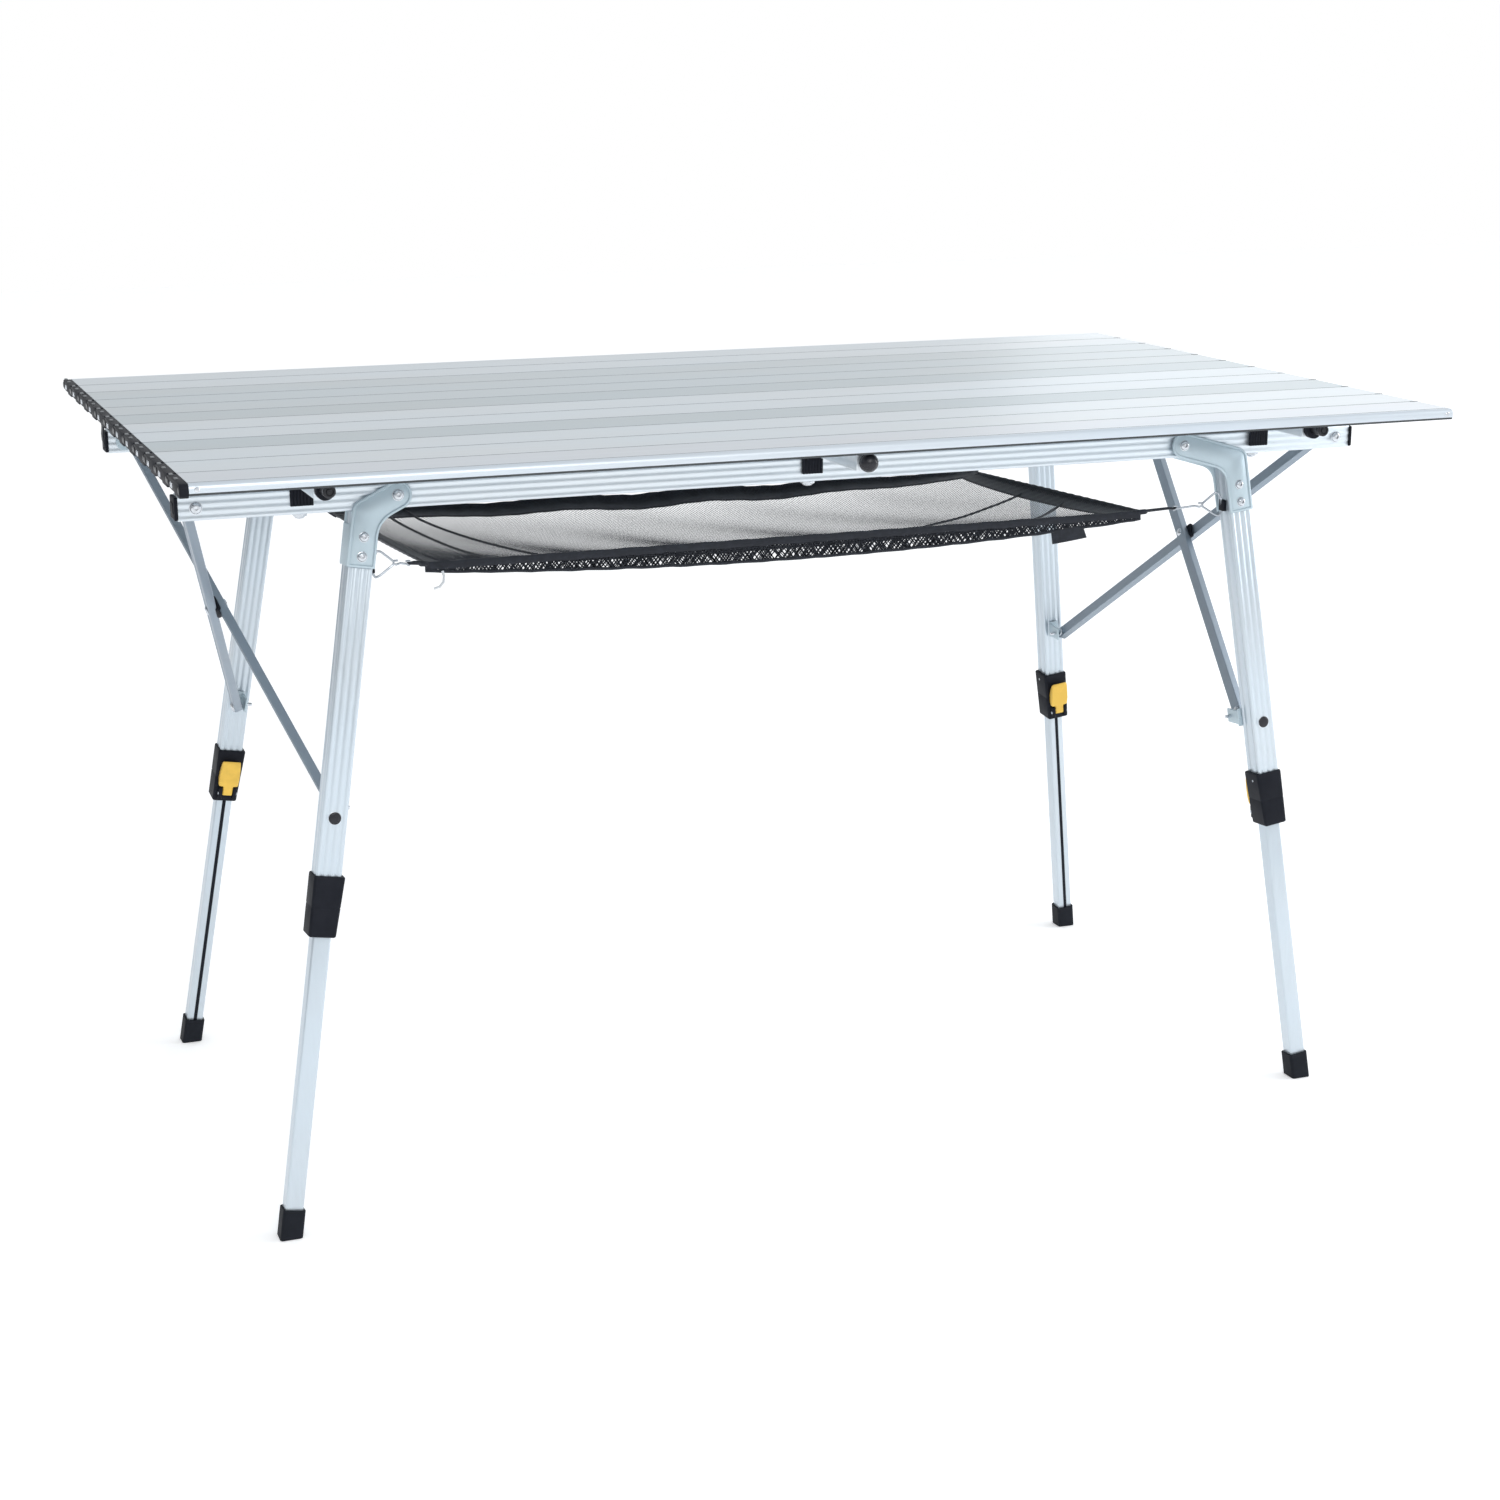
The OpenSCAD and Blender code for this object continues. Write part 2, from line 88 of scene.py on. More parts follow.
SLAT_Z = TOP_H - SLAT_T
BAR_Z = SLAT_Z - 0.3 - BAR_W / 2
RAIL_TOP = RAIL_Z + RAIL_H / 2

# Sizes that only the looks have, in mm.
LIP_SHADOW_H = 1.9  # height of the strip under the first slat's nose that is painted dark as shadow
NET_FRONT, NET_BACK, NET_SAG = 590.0, 573.0, 27.0
NET_PITCH, YARN_W, YARN_T = 3.0, 0.32, 0.22
HEM_BAND = {"side": 22.0, "back": 18.0}
LOOP_R, HOOK_R, RING_R = 1.15, 1.0, 1.05  # of the corners' elastic loops, wire hooks and rings
RING_W, RING_Z = 23.0, 595.0  # how far a ring reaches from its leg, and its tip's height
YARN_PITCH = 0.0007  # of the hems' weave, in metres
NET_SEAMS = [((-285, 184), (-190, -181)), ((-306, 172), (-268, -181)),
             ((344, 38), (180, -60)), ((346, -52), (262, -130))]


# ---- Camera, lights and floor ----

def new_object(name, data):
    made = bpy.data.objects.new(name, data)
    bpy.context.scene.collection.objects.link(made)
    return made


def set_inputs(node, **values):
    """Sets a node's inputs; a space in an input's name is written as an underscore."""
    for name, value in values.items():
        node.inputs[name.replace("_", " ")].default_value = value


def make_camera():
    """The camera stands in front of the left end and looks down at the table."""
    data = bpy.data.cameras.new("camera")
    data.lens, data.sensor_width = 63.56, 36.0
    camera = new_object("camera", data)
    camera.location = (-0.9285, -2.4424, 1.0446)
    look_down, turn_right = 0.265, 0.371
    camera.rotation_euler = (pi / 2 - look_down, 0.0, -turn_right)
    bpy.context.scene.camera = camera


def area_light(name, place, target, size, power, colour):
    data = bpy.data.lights.new(name, "AREA")
    data.shape = "RECTANGLE"
    data.size, data.size_y = size
    data.energy = power
    data.color = colour
    lamp = new_object(name, data)
    lamp.location = place
    aim = Vector(target) - Vector(place)
    lamp.rotation_euler = aim.to_track_quat("-Z", "Y").to_euler()


def make_studio():
    scene = bpy.context.scene
    scene.view_settings.view_transform = "Standard"
    world = bpy.data.worlds.new("studio")
    scene.world = world
    world.use_nodes = True
    tree = world.node_tree
    light = tree.nodes["Background"]
    set_inputs(light, Color=(0.96, 0.98, 1.0, 1))
    # The room is dimmer on the left, so the legs' left faces read darker than their fronts.
    way, split = tree.nodes.new("ShaderNodeTexCoord"), tree.nodes.new("ShaderNodeSeparateXYZ")
    tree.links.new(way.outputs["Generated"], split.inputs[0])
    tree.links.new(remap(tree, split.outputs["X"], -1, 1, 0.46, 1.03), light.inputs["Strength"])
    white = tree.nodes.new("ShaderNodeBackground")
    set_inputs(white, Color=(1.0, 1.0, 1.0, 1))
    seen, mix = tree.nodes.new("ShaderNodeLightPath"), tree.nodes.new("ShaderNodeMixShader")
    tree.links.new(seen.outputs["Is Camera Ray"], mix.inputs[0])
    tree.links.new(light.outputs[0], mix.inputs[1])
    tree.links.new(white.outputs[0], mix.inputs[2])
    tree.links.new(mix.outputs[0], tree.nodes["World Output"].inputs["Surface"])
    area_light("key", (-0.4, -3.4, 2.6), (0, 0, 0.5), (2.2, 1.6), 40, (1.0, 0.995, 0.98))
    area_light("side", (3.4, -0.8, 1.6), (0, 0, 0.6), (1.2, 2.0), 40, (0.95, 0.975, 1.0))
    area_light("back_panel", (4.4, 4.6, 1.4), (0.6, 0, 0.7), (3.2, 2.0), 22, (0.97, 0.985, 1.0))
    mesh = bpy.data.meshes.new("floor")
    half = 9.0
    corners = [(-half, -half, 0), (half, -half, 0), (half, half, 0), (-half, half, 0)]
    mesh.from_pydata(corners, [], [(0, 1, 2, 3)])
    floor = new_object("floor", mesh)
    floor.location.z = -0.0005
    shader = new_material("floor_paint")[1]
    set_inputs(shader, Base_Color=(0.95, 0.955, 0.96, 1), Roughness=0.9,
               Emission_Color=(1, 1, 1, 1), Emission_Strength=0.31)
    mesh.materials.append(MATERIALS["floor_paint"])


# ---- Materials ----

MATERIALS = {}


def new_material(name):
    """Makes a material, and gives its node tree and its shader."""
    material = MATERIALS[name] = bpy.data.materials.new(name)
    material.use_nodes = True
    return material.node_tree, material.node_tree.nodes["Principled BSDF"]


def object_coords(tree, scale=(1, 1, 1)):
    coords = tree.nodes.new("ShaderNodeTexCoord")
    mapping = tree.nodes.new("ShaderNodeMapping")
    set_inputs(mapping, Scale=scale)
    tree.links.new(coords.outputs["Object"], mapping.inputs["Vector"])
    return mapping.outputs["Vector"]


def noise(tree, vector, scale, detail, rough=0.6):
    node = tree.nodes.new("ShaderNodeTexNoise")
    set_inputs(node, Scale=scale, Detail=detail, Roughness=rough)
    tree.links.new(vector, node.inputs["Vector"])
    return node.outputs["Fac"]


def remap(tree, value, low, high, to_low, to_high):
    node = tree.nodes.new("ShaderNodeMapRange")
    set_inputs(node, From_Min=low, From_Max=high, To_Min=to_low, To_Max=to_high)
    tree.links.new(value, node.inputs["Value"])
    return node.outputs["Result"]


def mix_colours(tree, factor, first, second):
    node = tree.nodes.new("ShaderNodeMix")
    node.data_type = "RGBA"
    tree.links.new(factor, node.inputs["Factor"])
    for name, colour in (("A", first), ("B", second)):
        socket = next(s for s in node.inputs if s.name == name and s.type == "RGBA")
        if isinstance(colour, tuple):
            socket.default_value = (*colour, 1)
        else:
            tree.links.new(colour, socket)
    return next(s for s in node.outputs if s.type == "RGBA")


def mottle(tree, shader, factor, first, second):
    tree.links.new(mix_colours(tree, factor, first, second), shader.inputs["Base Color"])


def vary_roughness(tree, shader, value, low, high, smoothest, roughest):
    tree.links.new(remap(tree, value, low, high, smoothest, roughest), shader.inputs["Roughness"])


def add_bump(tree, shader, height, strength, distance):
    bump = tree.nodes.new("ShaderNodeBump")
    set_inputs(bump, Strength=strength, Distance=distance)
    tree.links.new(height, bump.inputs["Height"])
    tree.links.new(bump.outputs["Normal"], shader.inputs["Normal"])


def shaded(colour, factor, lift=0.0):
    return tuple(min(1.0, c * factor + lift) for c in colour)


def anodised(name, colour, streak, rough=0.36, metal=0.7, tone=0.06):
    """Satin anodised aluminium; streak squeezes the drawn lines' pattern on each axis."""
    tree, shader = new_material(name)
    drawn = noise(tree, object_coords(tree, streak), 1.0, 6.0, 0.7)
    broad = noise(tree, object_coords(tree, (1.5, 4.0, 4.0)), 2.0, 2.0)
    dark, light = shaded(colour, 1 - tone), shaded(colour, 1 + tone / 2)
    streaked = mix_colours(tree, remap(tree, drawn, 0.3, 0.7, 0, 1), dark, light)
    cool = tuple(c * k for c, k in zip(colour, (0.96, 1.0, 1.03)))
    mottle(tree, shader, remap(tree, broad, 0.35, 0.65, 0, 0.6), streaked, cool)
    set_inputs(shader, Metallic=metal)
    vary_roughness(tree, shader, drawn, 0.25, 0.75, rough - 0.05, rough + 0.07)
    add_bump(tree, shader, drawn, 0.1, 0.0002)


def moulded(name, colour, rough, grain=900.0, strength=0.2, gloss=0.38):
    """Moulded plastic or rubber with a fine grain and slightly worn patches."""
    tree, shader = new_material(name)
    coords = object_coords(tree)
    fine = noise(tree, coords, grain, 2.0)
    broad = noise(tree, coords, 45.0, 3.0)
    worn = shaded(colour, 1.3, 0.006)
    set_inputs(shader, Specular_IOR_Level=gloss)
    mottle(tree, shader, remap(tree, broad, 0.45, 0.75, 0, 0.7), colour, worn)
    vary_roughness(tree, shader, broad, 0.3, 0.7, rough - 0.06, rough + 0.08)
    add_bump(tree, shader, fine, strength, 0.0002)


def satin_paint(name, colour):
    """Pressed metal under a satin, slightly metallic lacquer."""
    tree, shader = new_material(name)
    coords = object_coords(tree)
    fine = noise(tree, coords, 700.0, 3.0)
    broad = noise(tree, coords, 30.0, 3.0)
    mottle(tree, shader, remap(tree, broad, 0.35, 0.7, 0, 1), colour, shaded(colour, 0.94))
    set_inputs(shader, Metallic=0.4)
    vary_roughness(tree, shader, fine, 0.3, 0.7, 0.35, 0.48)
    add_bump(tree, shader, fine, 0.1, 0.0001)


def woven(name, colour):
    """Tightly woven tape: two crossing waves of yarn."""
    tree, shader = new_material(name)
    coords = object_coords(tree)
    heights = []
    for axis in ("X", "Y"):
        wave = tree.nodes.new("ShaderNodeTexWave")
        wave.bands_direction = axis
        set_inputs(wave, Scale=0.157 / YARN_PITCH, Distortion=0.6)
        tree.links.new(coords, wave.inputs["Vector"])
        heights.append(wave.outputs["Fac"])
    both = tree.nodes.new("ShaderNodeMath")
    both.operation = "MULTIPLY"
    tree.links.new(heights[0], both.inputs[0])
    tree.links.new(heights[1], both.inputs[1])
    lint = noise(tree, coords, 160.0, 3.0)
    mottle(tree, shader, remap(tree, lint, 0.45, 0.8, 0, 0.8), colour, shaded(colour, 1.8, 0.006))
    set_inputs(shader, Roughness=0.8, Sheen_Weight=0.15, Sheen_Roughness=0.5)
    add_bump(tree, shader, both.outputs["Value"], 0.4, 0.0003)


def bright_steel(name, colour, rough=0.2):
    tree, shader = new_material(name)
    scratch = noise(tree, object_coords(tree), 350.0, 4.0)
    set_inputs(shader, Metallic=1.0)
    mottle(tree, shader, remap(tree, scratch, 0.4, 0.7, 0, 1), colour, shaded(colour, 0.85))
    vary_roughness(tree, shader, scratch, 0.3, 0.7, rough - 0.06, rough + 0.1)


anodised("frame_aluminium", (0.72, 0.77, 0.81), (3, 260, 260), tone=0.04)
anodised("leg_aluminium", (0.60, 0.66, 0.71), (260, 260, 3), rough=0.33, tone=0.06)
anodised("lip_aluminium", (0.67, 0.725, 0.78), (3, 260, 260), tone=0.04)
satin_paint("bracket_metal", (0.50, 0.60, 0.655))
anodised("brace_metal", (0.30, 0.35, 0.405), (60, 60, 60), rough=0.36, metal=0.75)
bright_steel("bolt_steel", (0.66, 0.69, 0.73))
# A dark finish that paints the shade in recesses: bolt sockets and the strip under the lip.
moulded("painted_recess_shade", (0.05, 0.055, 0.06), 0.4)
moulded("black_plastic", (0.0045, 0.006, 0.0115), 0.55, gloss=0.18)
moulded("glossy_plastic", (0.014, 0.015, 0.020), 0.28, strength=0.08)
moulded("foot_rubber", (0.006, 0.008, 0.013), 0.62, gloss=0.18)
moulded("yellow_plastic", (0.77, 0.485, 0.075), 0.36, 500.0, 0.08)
moulded("net_yarn", (0.008, 0.011, 0.018), 0.65, 2500.0, 0.3)
woven("hem_fabric", (0.006, 0.0085, 0.015))
bright_steel("wire_steel", (0.46, 0.49, 0.53), 0.28)
# A darker copy of the aluminium: painted shade in the slats' joints and the lip's groove.
anodised("painted_joint_shade", (0.26, 0.28, 0.30), (3, 260, 260), rough=0.5, metal=0.4)
# A grey that paints the highlight on the hinge links' knuckles.
moulded("painted_knuckle_highlight", (0.17, 0.18, 0.19), 0.4, 800.0, 0.1)
moulded("white_cord", (0.62, 0.64, 0.66), 0.7, 1500.0, 0.3)
# Lighter and darker copies of one slat finish: painted reflection and shade on the slats.
for painted_light_name, painted_light_colour in (("light", (0.72, 0.76, 0.785)), ("warm", (0.71, 0.74, 0.775)),
                               ("mid", (0.625, 0.67, 0.69)), ("dark", (0.58, 0.63, 0.65))):
    anodised("slat_" + painted_light_name, painted_light_colour, (2.2, 420, 420), rough=0.38, tone=0.09)


# ---- Mesh helpers ----

def finish_piece(name, bm, looks, body, replaced=(), smooth=35):
    """Turns a bmesh into a piece that rides on a body and stands for its CAD nodes.
    """
    looks = [looks] if isinstance(looks, str) else looks
    bmesh.ops.recalc_face_normals(bm, faces=bm.faces)
    mesh = bpy.data.meshes.new(name)
    bm.to_mesh(mesh)
    bm.free()
    piece = new_object(name, mesh)
    for look in looks:
        mesh.materials.append(MATERIALS[look])
    if smooth:
        mesh.shade_smooth()
        mesh.set_sharp_from_angle(angle=radians(smooth))
    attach(piece, body)
    if replaced:
        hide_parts(*replaced)
    return piece


def skin(bm, rings, place, material=0, caps=True):
    """Joins rings of points, each in mm, into a closed tube."""
    loops = [[bm.verts.new(place @ Vector(point)) for point in ring] for ring in rings]
    made = []
    for low, high in zip(loops, loops[1:]):
        for i in range(len(low)):
            j = (i + 1) % len(low)
            made.append(bm.faces.new((low[i], low[j], high[j], high[i])))
    if caps:
        made.append(bm.faces.new(loops[0][::-1]))
        made.append(bm.faces.new(loops[-1]))
    for face in made:
        face.material_index = material
    return made


def shrink(outline, inset):
    """A counter-clockwise outline moved inward."""
    moved = []
    for i, here in enumerate(outline):
        before, after = outline[i - 1], outline[(i + 1) % len(outline)]
        a = (Vector(here) - Vector(before)).normalized()
        b = (Vector(after) - Vector(here)).normalized()
        reach = inset / max(0.35, 1 + a.dot(b))
        moved.append((here[0] - (a.y + b.y) * reach, here[1] + (a.x + b.x) * reach))
    return moved


def slab(bm, outline, low, high, place, soft, material=0):
    """A plate of an outline between two heights, with rounded rims."""
    steps = [(1 - sin(a), 1 - cos(a)) for a in (0, pi / 4, pi / 2)]
    heights = [(inset, low + soft * up) for inset, up in steps]
    heights += [(inset, high - soft * up) for inset, up in steps[::-1]]
    rings = [[(x, y, z) for x, y in shrink(outline, soft * inset)] for inset, z in heights]
    skin(bm, rings, place, material)


def arc(centre, radius, start, end, steps):
    """Points along an arc, angles in degrees."""
    angles = [radians(start + (end - start) * i / steps) for i in range(steps + 1)]
    return [(centre[0] + radius * cos(a), centre[1] + radius * sin(a)) for a in angles]


def tube_outline(w, d, corner, wide=(), deep=(), groove=2.6, depth=0.6, centre=(0.0, 0.0)):
    """A round-cornered rectangle; wide and deep give the grooves along its two pairs of faces."""
    outline = []
    for turn in range(4):
        length, other, places = ((w, d, wide), (d, w, deep))[turn % 2]
        side = [(-length / 2 + corner, -other / 2)]
        for at in sorted(places if turn < 2 else [-p for p in places]):
            for t in (-1, -0.6, 0, 0.6, 1):
                side.append((at + t * groove / 2, -other / 2 + depth * cos(t * pi / 2)))
        side += arc((length / 2 - corner, -other / 2 + corner), corner, -90, -5, 3)
        spin = Matrix.Rotation(turn * pi / 2, 2)
        outline += [tuple(spin @ Vector(point) + Vector(centre)) for point in side]
    return outline


def box_mm(bm, size, centre, place, soft, corner, material=0):
    """A small moulded block with round edges on all sides."""
    w, d, h = size
    corner = min(corner, w / 2.2, d / 2.2)
    outline = tube_outline(w, d, corner)
    soft = min(soft, h / 3, corner * 0.9)
    slab(bm, outline, -h / 2, h / 2, place @ shift(*centre), soft, material)


def lathe(bm, profile, place, steps=24, material=0):
    """A solid of (radius, height) rings round local Z; a third entry makes a ring a hexagon."""
    rings = []
    for radius, height, *hexagon in profile:
        ring = []
        for i in range(steps):
            angle = 2 * pi * i / steps
            far = radius
            if hexagon:
                far = radius / cos(radians((math.degrees(angle) + 30) % 60 - 30))
            ring.append((far * cos(angle), far * sin(angle), height))
        rings.append(ring)
    return skin(bm, rings, place, material)


def shift(x, y, z):
    return Matrix.Translation(Vector((x, y, z)))


def flipped(x, y, z):
    return Matrix.Diagonal((x, y, z, 1))


def pointing(direction, centre):
    """Turns local Z to a direction and moves the origin."""
    turn = Vector(direction).to_track_quat("Z", "Y").to_matrix().to_4x4()
    return shift(*centre) @ turn


def round_ring(centre, radius, first, second, sides=8):
    """A circle of points in the plane of two directions."""
    angles = [2 * pi * k / sides for k in range(sides)]
    return [centre + radius * (first * cos(a) + second * sin(a)) for a in angles]


def dome_bolt(bm, place, radius):
    """A domed bolt head, seated at the origin; its hexagon socket and the groove round its base
    take material 1, painted shade.
    """
    height, socket, steps = 2.6, 0.3, 24
    profile = [(radius * 0.93, -0.3), (radius, 0.1), (radius, 0.35), (radius * 0.88, 0.5),
               (radius * 0.86, 0.3), (radius * 0.84, height * 0.4), (radius * 0.8, height * 0.66),
               (radius * 0.68, height * 0.88), (radius * 0.52, height),
               (radius * socket, height * 1.01, 6), (radius * socket, height * 0.62, 6),
               (radius * 0.05, height * 0.55)]
    faces = lathe(bm, profile, place, steps)
    # Painted shade in the socket's wall and in the groove round the head.
    for first in (3, 9):
        for face in faces[first * steps:(first + 1) * steps]:
            face.material_index = 1


def nut(bm, place, across, height):
    lathe(bm, [(across * 0.42, 0), (across * 0.46, 0.01, 6), (across * 0.5, height * 0.2, 6),
               (across * 0.5, height * 0.8, 6), (across * 0.46, height, 6)], place)


def tube_along(bm, points, radius, sides=8):
    """A round wire along points in mm."""
    path = [Vector(point) for point in points]
    rings, before = [], None
    for i, point in enumerate(path):
        ahead = (path[min(i + 1, len(path) - 1)] - path[max(i - 1, 0)]).normalized()
        if before is None:
            before = ahead.orthogonal().normalized()
        before = (before - ahead * before.dot(ahead)).normalized()
        other = ahead.cross(before)
        rings.append(round_ring(point, radius, before, other, sides))
    skin(bm, rings, METRES)


def bevelled_copy(node, look, width, segments=2):
    """A copy of a CAD node with softened edges, which stands for it."""
    bm = bmesh.new()
    bm.from_mesh(NODES[node].data)
    bmesh.ops.remove_doubles(bm, verts=bm.verts, dist=2e-6)
    bmesh.ops.dissolve_limit(bm, angle_limit=radians(1.0), verts=bm.verts, edges=bm.edges)
    sharp = [e for e in bm.edges if len(e.link_faces) == 2 and e.calc_face_angle() > radians(30)]
    bmesh.ops.bevel(bm, geom=sharp, offset=width * MM, segments=segments, profile=0.6,
                    affect="EDGES", clamp_overlap=True)
    body = next(body for body, nodes in BODIES.items() if node in nodes)
    finish_piece(node + "_soft", bm, look, body, [node])


# ---- Frames of reference, as in the CAD ----

def leg_place(row, side):
    """Local +X outward along the table, +Y outward across it, and the origin at the leg's pivot."""
    pivot = shift(side * PIVOT_X, row * RAIL_Y, RAIL_Z)
    return METRES @ pivot @ flipped(side, row, 1) @ Matrix.Rotation(radians(TILT), 4, "X")


def leg_axis(row, side):
    turn = Matrix.Rotation(radians(-SPLAY[side]), 4, "Y")
    return leg_place(row, side) @ shift(OFF[side], 0, 0) @ turn


def leg_length(side):
    return RAIL_Z / (cos(radians(SPLAY[side])) * cos(radians(TILT)))


# ---- Table top ----

# From the front slat to the back one: lighter and darker copies of one finish, which paint the
# reflection and shade each slat catches.
SLAT_PAINTED_LIGHT = ["warm", "light", "light", "dark", "light", "light",
         "dark", "mid", "mid", "mid", "light", "light"]
# Turns an outline in YZ into one drawn along X.
ACROSS = Matrix(((0, 0, 1, 0), (1, 0, 0, 0), (0, 1, 0, 0), (0, 0, 0, 1)))


def slat_outline(number):
    """The slat's open channel section, with a nose on the first slat and a round last edge."""
    w, t, wall, lip = PITCH - 0.8, SLAT_T, 1.1, 6.0
    inside = [(lip, 0), (lip, wall), (wall, wall), (wall, t - wall)]
    inside += [(w - y, z) for y, z in inside[::-1]]
    left = [(0.7, t), (0.2, t - 0.25), (0, t - 0.7)]
    right = [(w, t - 0.7), (w - 0.2, t - 0.25), (w - 0.7, t)]
    if number == 1:
        inside = [(p[0] + 3 if p[0] < w / 2 else p[0], p[1]) for p in inside]
        left = [(8.0, t), (7.7, t - 0.35), (7.0, t - 0.35), (6.7, t - 0.1)]
        left += arc((4.6, t - 4.7), 4.6, 90, 180, 6) + [(0, LIP_SHADOW_H), (0.7, LIP_SHADOW_H), (0.7, 0.1)]
    if number == SLAT_N:
        right = arc((w - 3, t - 3), 3, 0, 90, 6)
    return inside + [(w, 0)] + right + left + [(0.7 if number == 1 else 0, 0)]


def make_slat(number):
    name = f"slat_{number:02d}"
    body = name + "_link"
    y0 = -SLAT_N * PITCH / 2 + (number - 1) * PITCH + 0.4
    w = PITCH - 0.8
    left, right = -TOP_L / 2, TOP_L / 2
    place = METRES @ shift(0, y0, SLAT_Z) @ ACROSS
    bm = bmesh.new()
    skin(bm, [[(y, z, x) for y, z in slat_outline(number)] for x in (left + LINK_L, right)], place)
    bmesh.ops.recalc_face_normals(bm, faces=bm.faces)
    # Faces along each joint to the next slat, and the lip's groove, take painted shade.
    for face in bm.faces:
        middle = face.calc_center_median() / MM
        shaded_joint_face = middle.y < y0 + 0.6 and number > 1 or middle.y > y0 + w - 0.6 and number < SLAT_N
        groove = number == 1 and abs(middle.y - y0 - 7.35) < 0.5 and middle.z > TOP_H - 1
        if abs(face.normal.x) < 0.5 and (shaded_joint_face or groove):
            face.material_index = 4
    if number == 1:
        for face in bm.faces:
            middle = face.calc_center_median()
            # The nose takes the lip's finish, and the strip low on it takes painted shadow.
            if middle.y < (y0 + 6.9) * MM and abs(face.normal.x) < 0.5:
                face.material_index = 3 if middle.z < (SLAT_Z + LIP_SHADOW_H + 0.01) * MM else 1
        for x in (left + 14, right - 6):
            spot = METRES @ pointing((0, -1, 0), (x, y0, SLAT_Z + 4.9))
            lathe(bm, [(2.3, -0.4), (2.3, 0.1), (1.9, 0.4), (0.6, 0.5)], spot, material=2)
    others = ["lip_aluminium", "bolt_steel", "painted_recess_shade", "painted_joint_shade"]
    finish_piece(name + "_panel", bm, ["slat_" + SLAT_PAINTED_LIGHT[number - 1]] + others, body, [name],
                 smooth=25)

    # The hinge link on the left end: a stepped block with two raised knuckle bars, grey as a
    # painted highlight, and two pins.
    bm = bmesh.new()
    top = SLAT_T - 0.15
    notch = [(w + 0.2, 0.2), (w + 0.2, top - 1.6), (w - 1.2, top - 0.4), (w - 9, top - 0.4),
             (w - 10, top)]
    front = [(2.0, top), (0.0, top - 1.8), (0.0, 0.0)]
    if number == 1:
        front = [(4.5, top)] + arc((4.6, top - 4.7), 4.6, 100, 180, 5) + [(0, 0)]
    outline = [(2, -1.9), (25, -1.9), (27.5, -0.4), (44, -0.4), (46, 0.2)] + notch + front
    slab(bm, outline, left, left + LINK_L - 0.1, place, 0.4)
    # Grey bars on top paint the knuckles' highlight.
    for y, length in ((w - 4.6, 7.0), (w * 0.52, 6.0)):
        box_mm(bm, (length, 1.3, 3.0), (y, top + 0.25, left + 2.4), place, 0.4, 0.5, 3)
    for y in (w * 0.60, w * 0.70):
        box_mm(bm, (1.7, 4.6, 1.2), (y, 3.8, left - 0.1), place, 0.3, 0.5, 2)
    for y in (w - 2.2, 3.2):
        lathe(bm, [(2.9, -0.1), (2.9, 0.35), (2.4, 0.6), (0.8, 0.65)],
              METRES @ pointing((-1, 0, 0), (left, y0 + y, SLAT_Z + 4.2)), material=1)
    finish_piece(name + "_hinge", bm, ["black_plastic", "glossy_plastic", "bolt_steel", "painted_knuckle_highlight"],
                 body)

    # The plug in the right end, with a knuckle at the joint to the next slat.
    bm = bmesh.new()
    outline = [(2.2, 1.2), (w - 1.3, 1.2), (w - 1.3, SLAT_T - 1.3), (2.2, SLAT_T - 1.3)]
    if number == 1:
        outline = [(4.3, 1.3)] + outline[1:3] + [(4.3, SLAT_T - 1.3)]
    slab(bm, outline, right - 9, right - 0.6, place, 0.3)
    if number < SLAT_N:
        lathe(bm, [(1.6, -8), (2.0, -7.6), (2.0, 0.2), (1.4, 0.5)],
              METRES @ pointing((1, 0, 0), (right, y0 + w + 0.4, TOP_H - 1.7)))
    finish_piece(name + "_end_plug", bm, "black_plastic", body)


def make_closing_strap():
    """The strap that holds the rolled top hangs from under the left end, cut at a slant."""
    bm = bmesh.new()
    x, y, z = -TOP_L / 2 + 1.4, 77.5, SLAT_Z
    rings = []
    for down, lean in ((-1.0, 0.0), (-4.0, -0.2), (-10.0, -0.9), (-16.0, -0.6), (-22.5, 0.3)):
        cut = 3.0 if down < -20 else 0.0
        rings.append([(x + lean - 0.7, y, z + down), (x + lean - 0.7, y + 10, z + down + cut),
                      (x + lean + 0.7, y + 10, z + down + cut), (x + lean + 0.7, y, z + down)])
    skin(bm, rings, METRES)
    box_mm(bm, (26, 10, 1.4), (x + 12.4, y + 5, z - 0.9), METRES, 0.4, 1.0)
    finish_piece("closing_strap_tape", bm, "hem_fabric", "slat_08_link", ["closing_strap"])


# ---- Rails ----

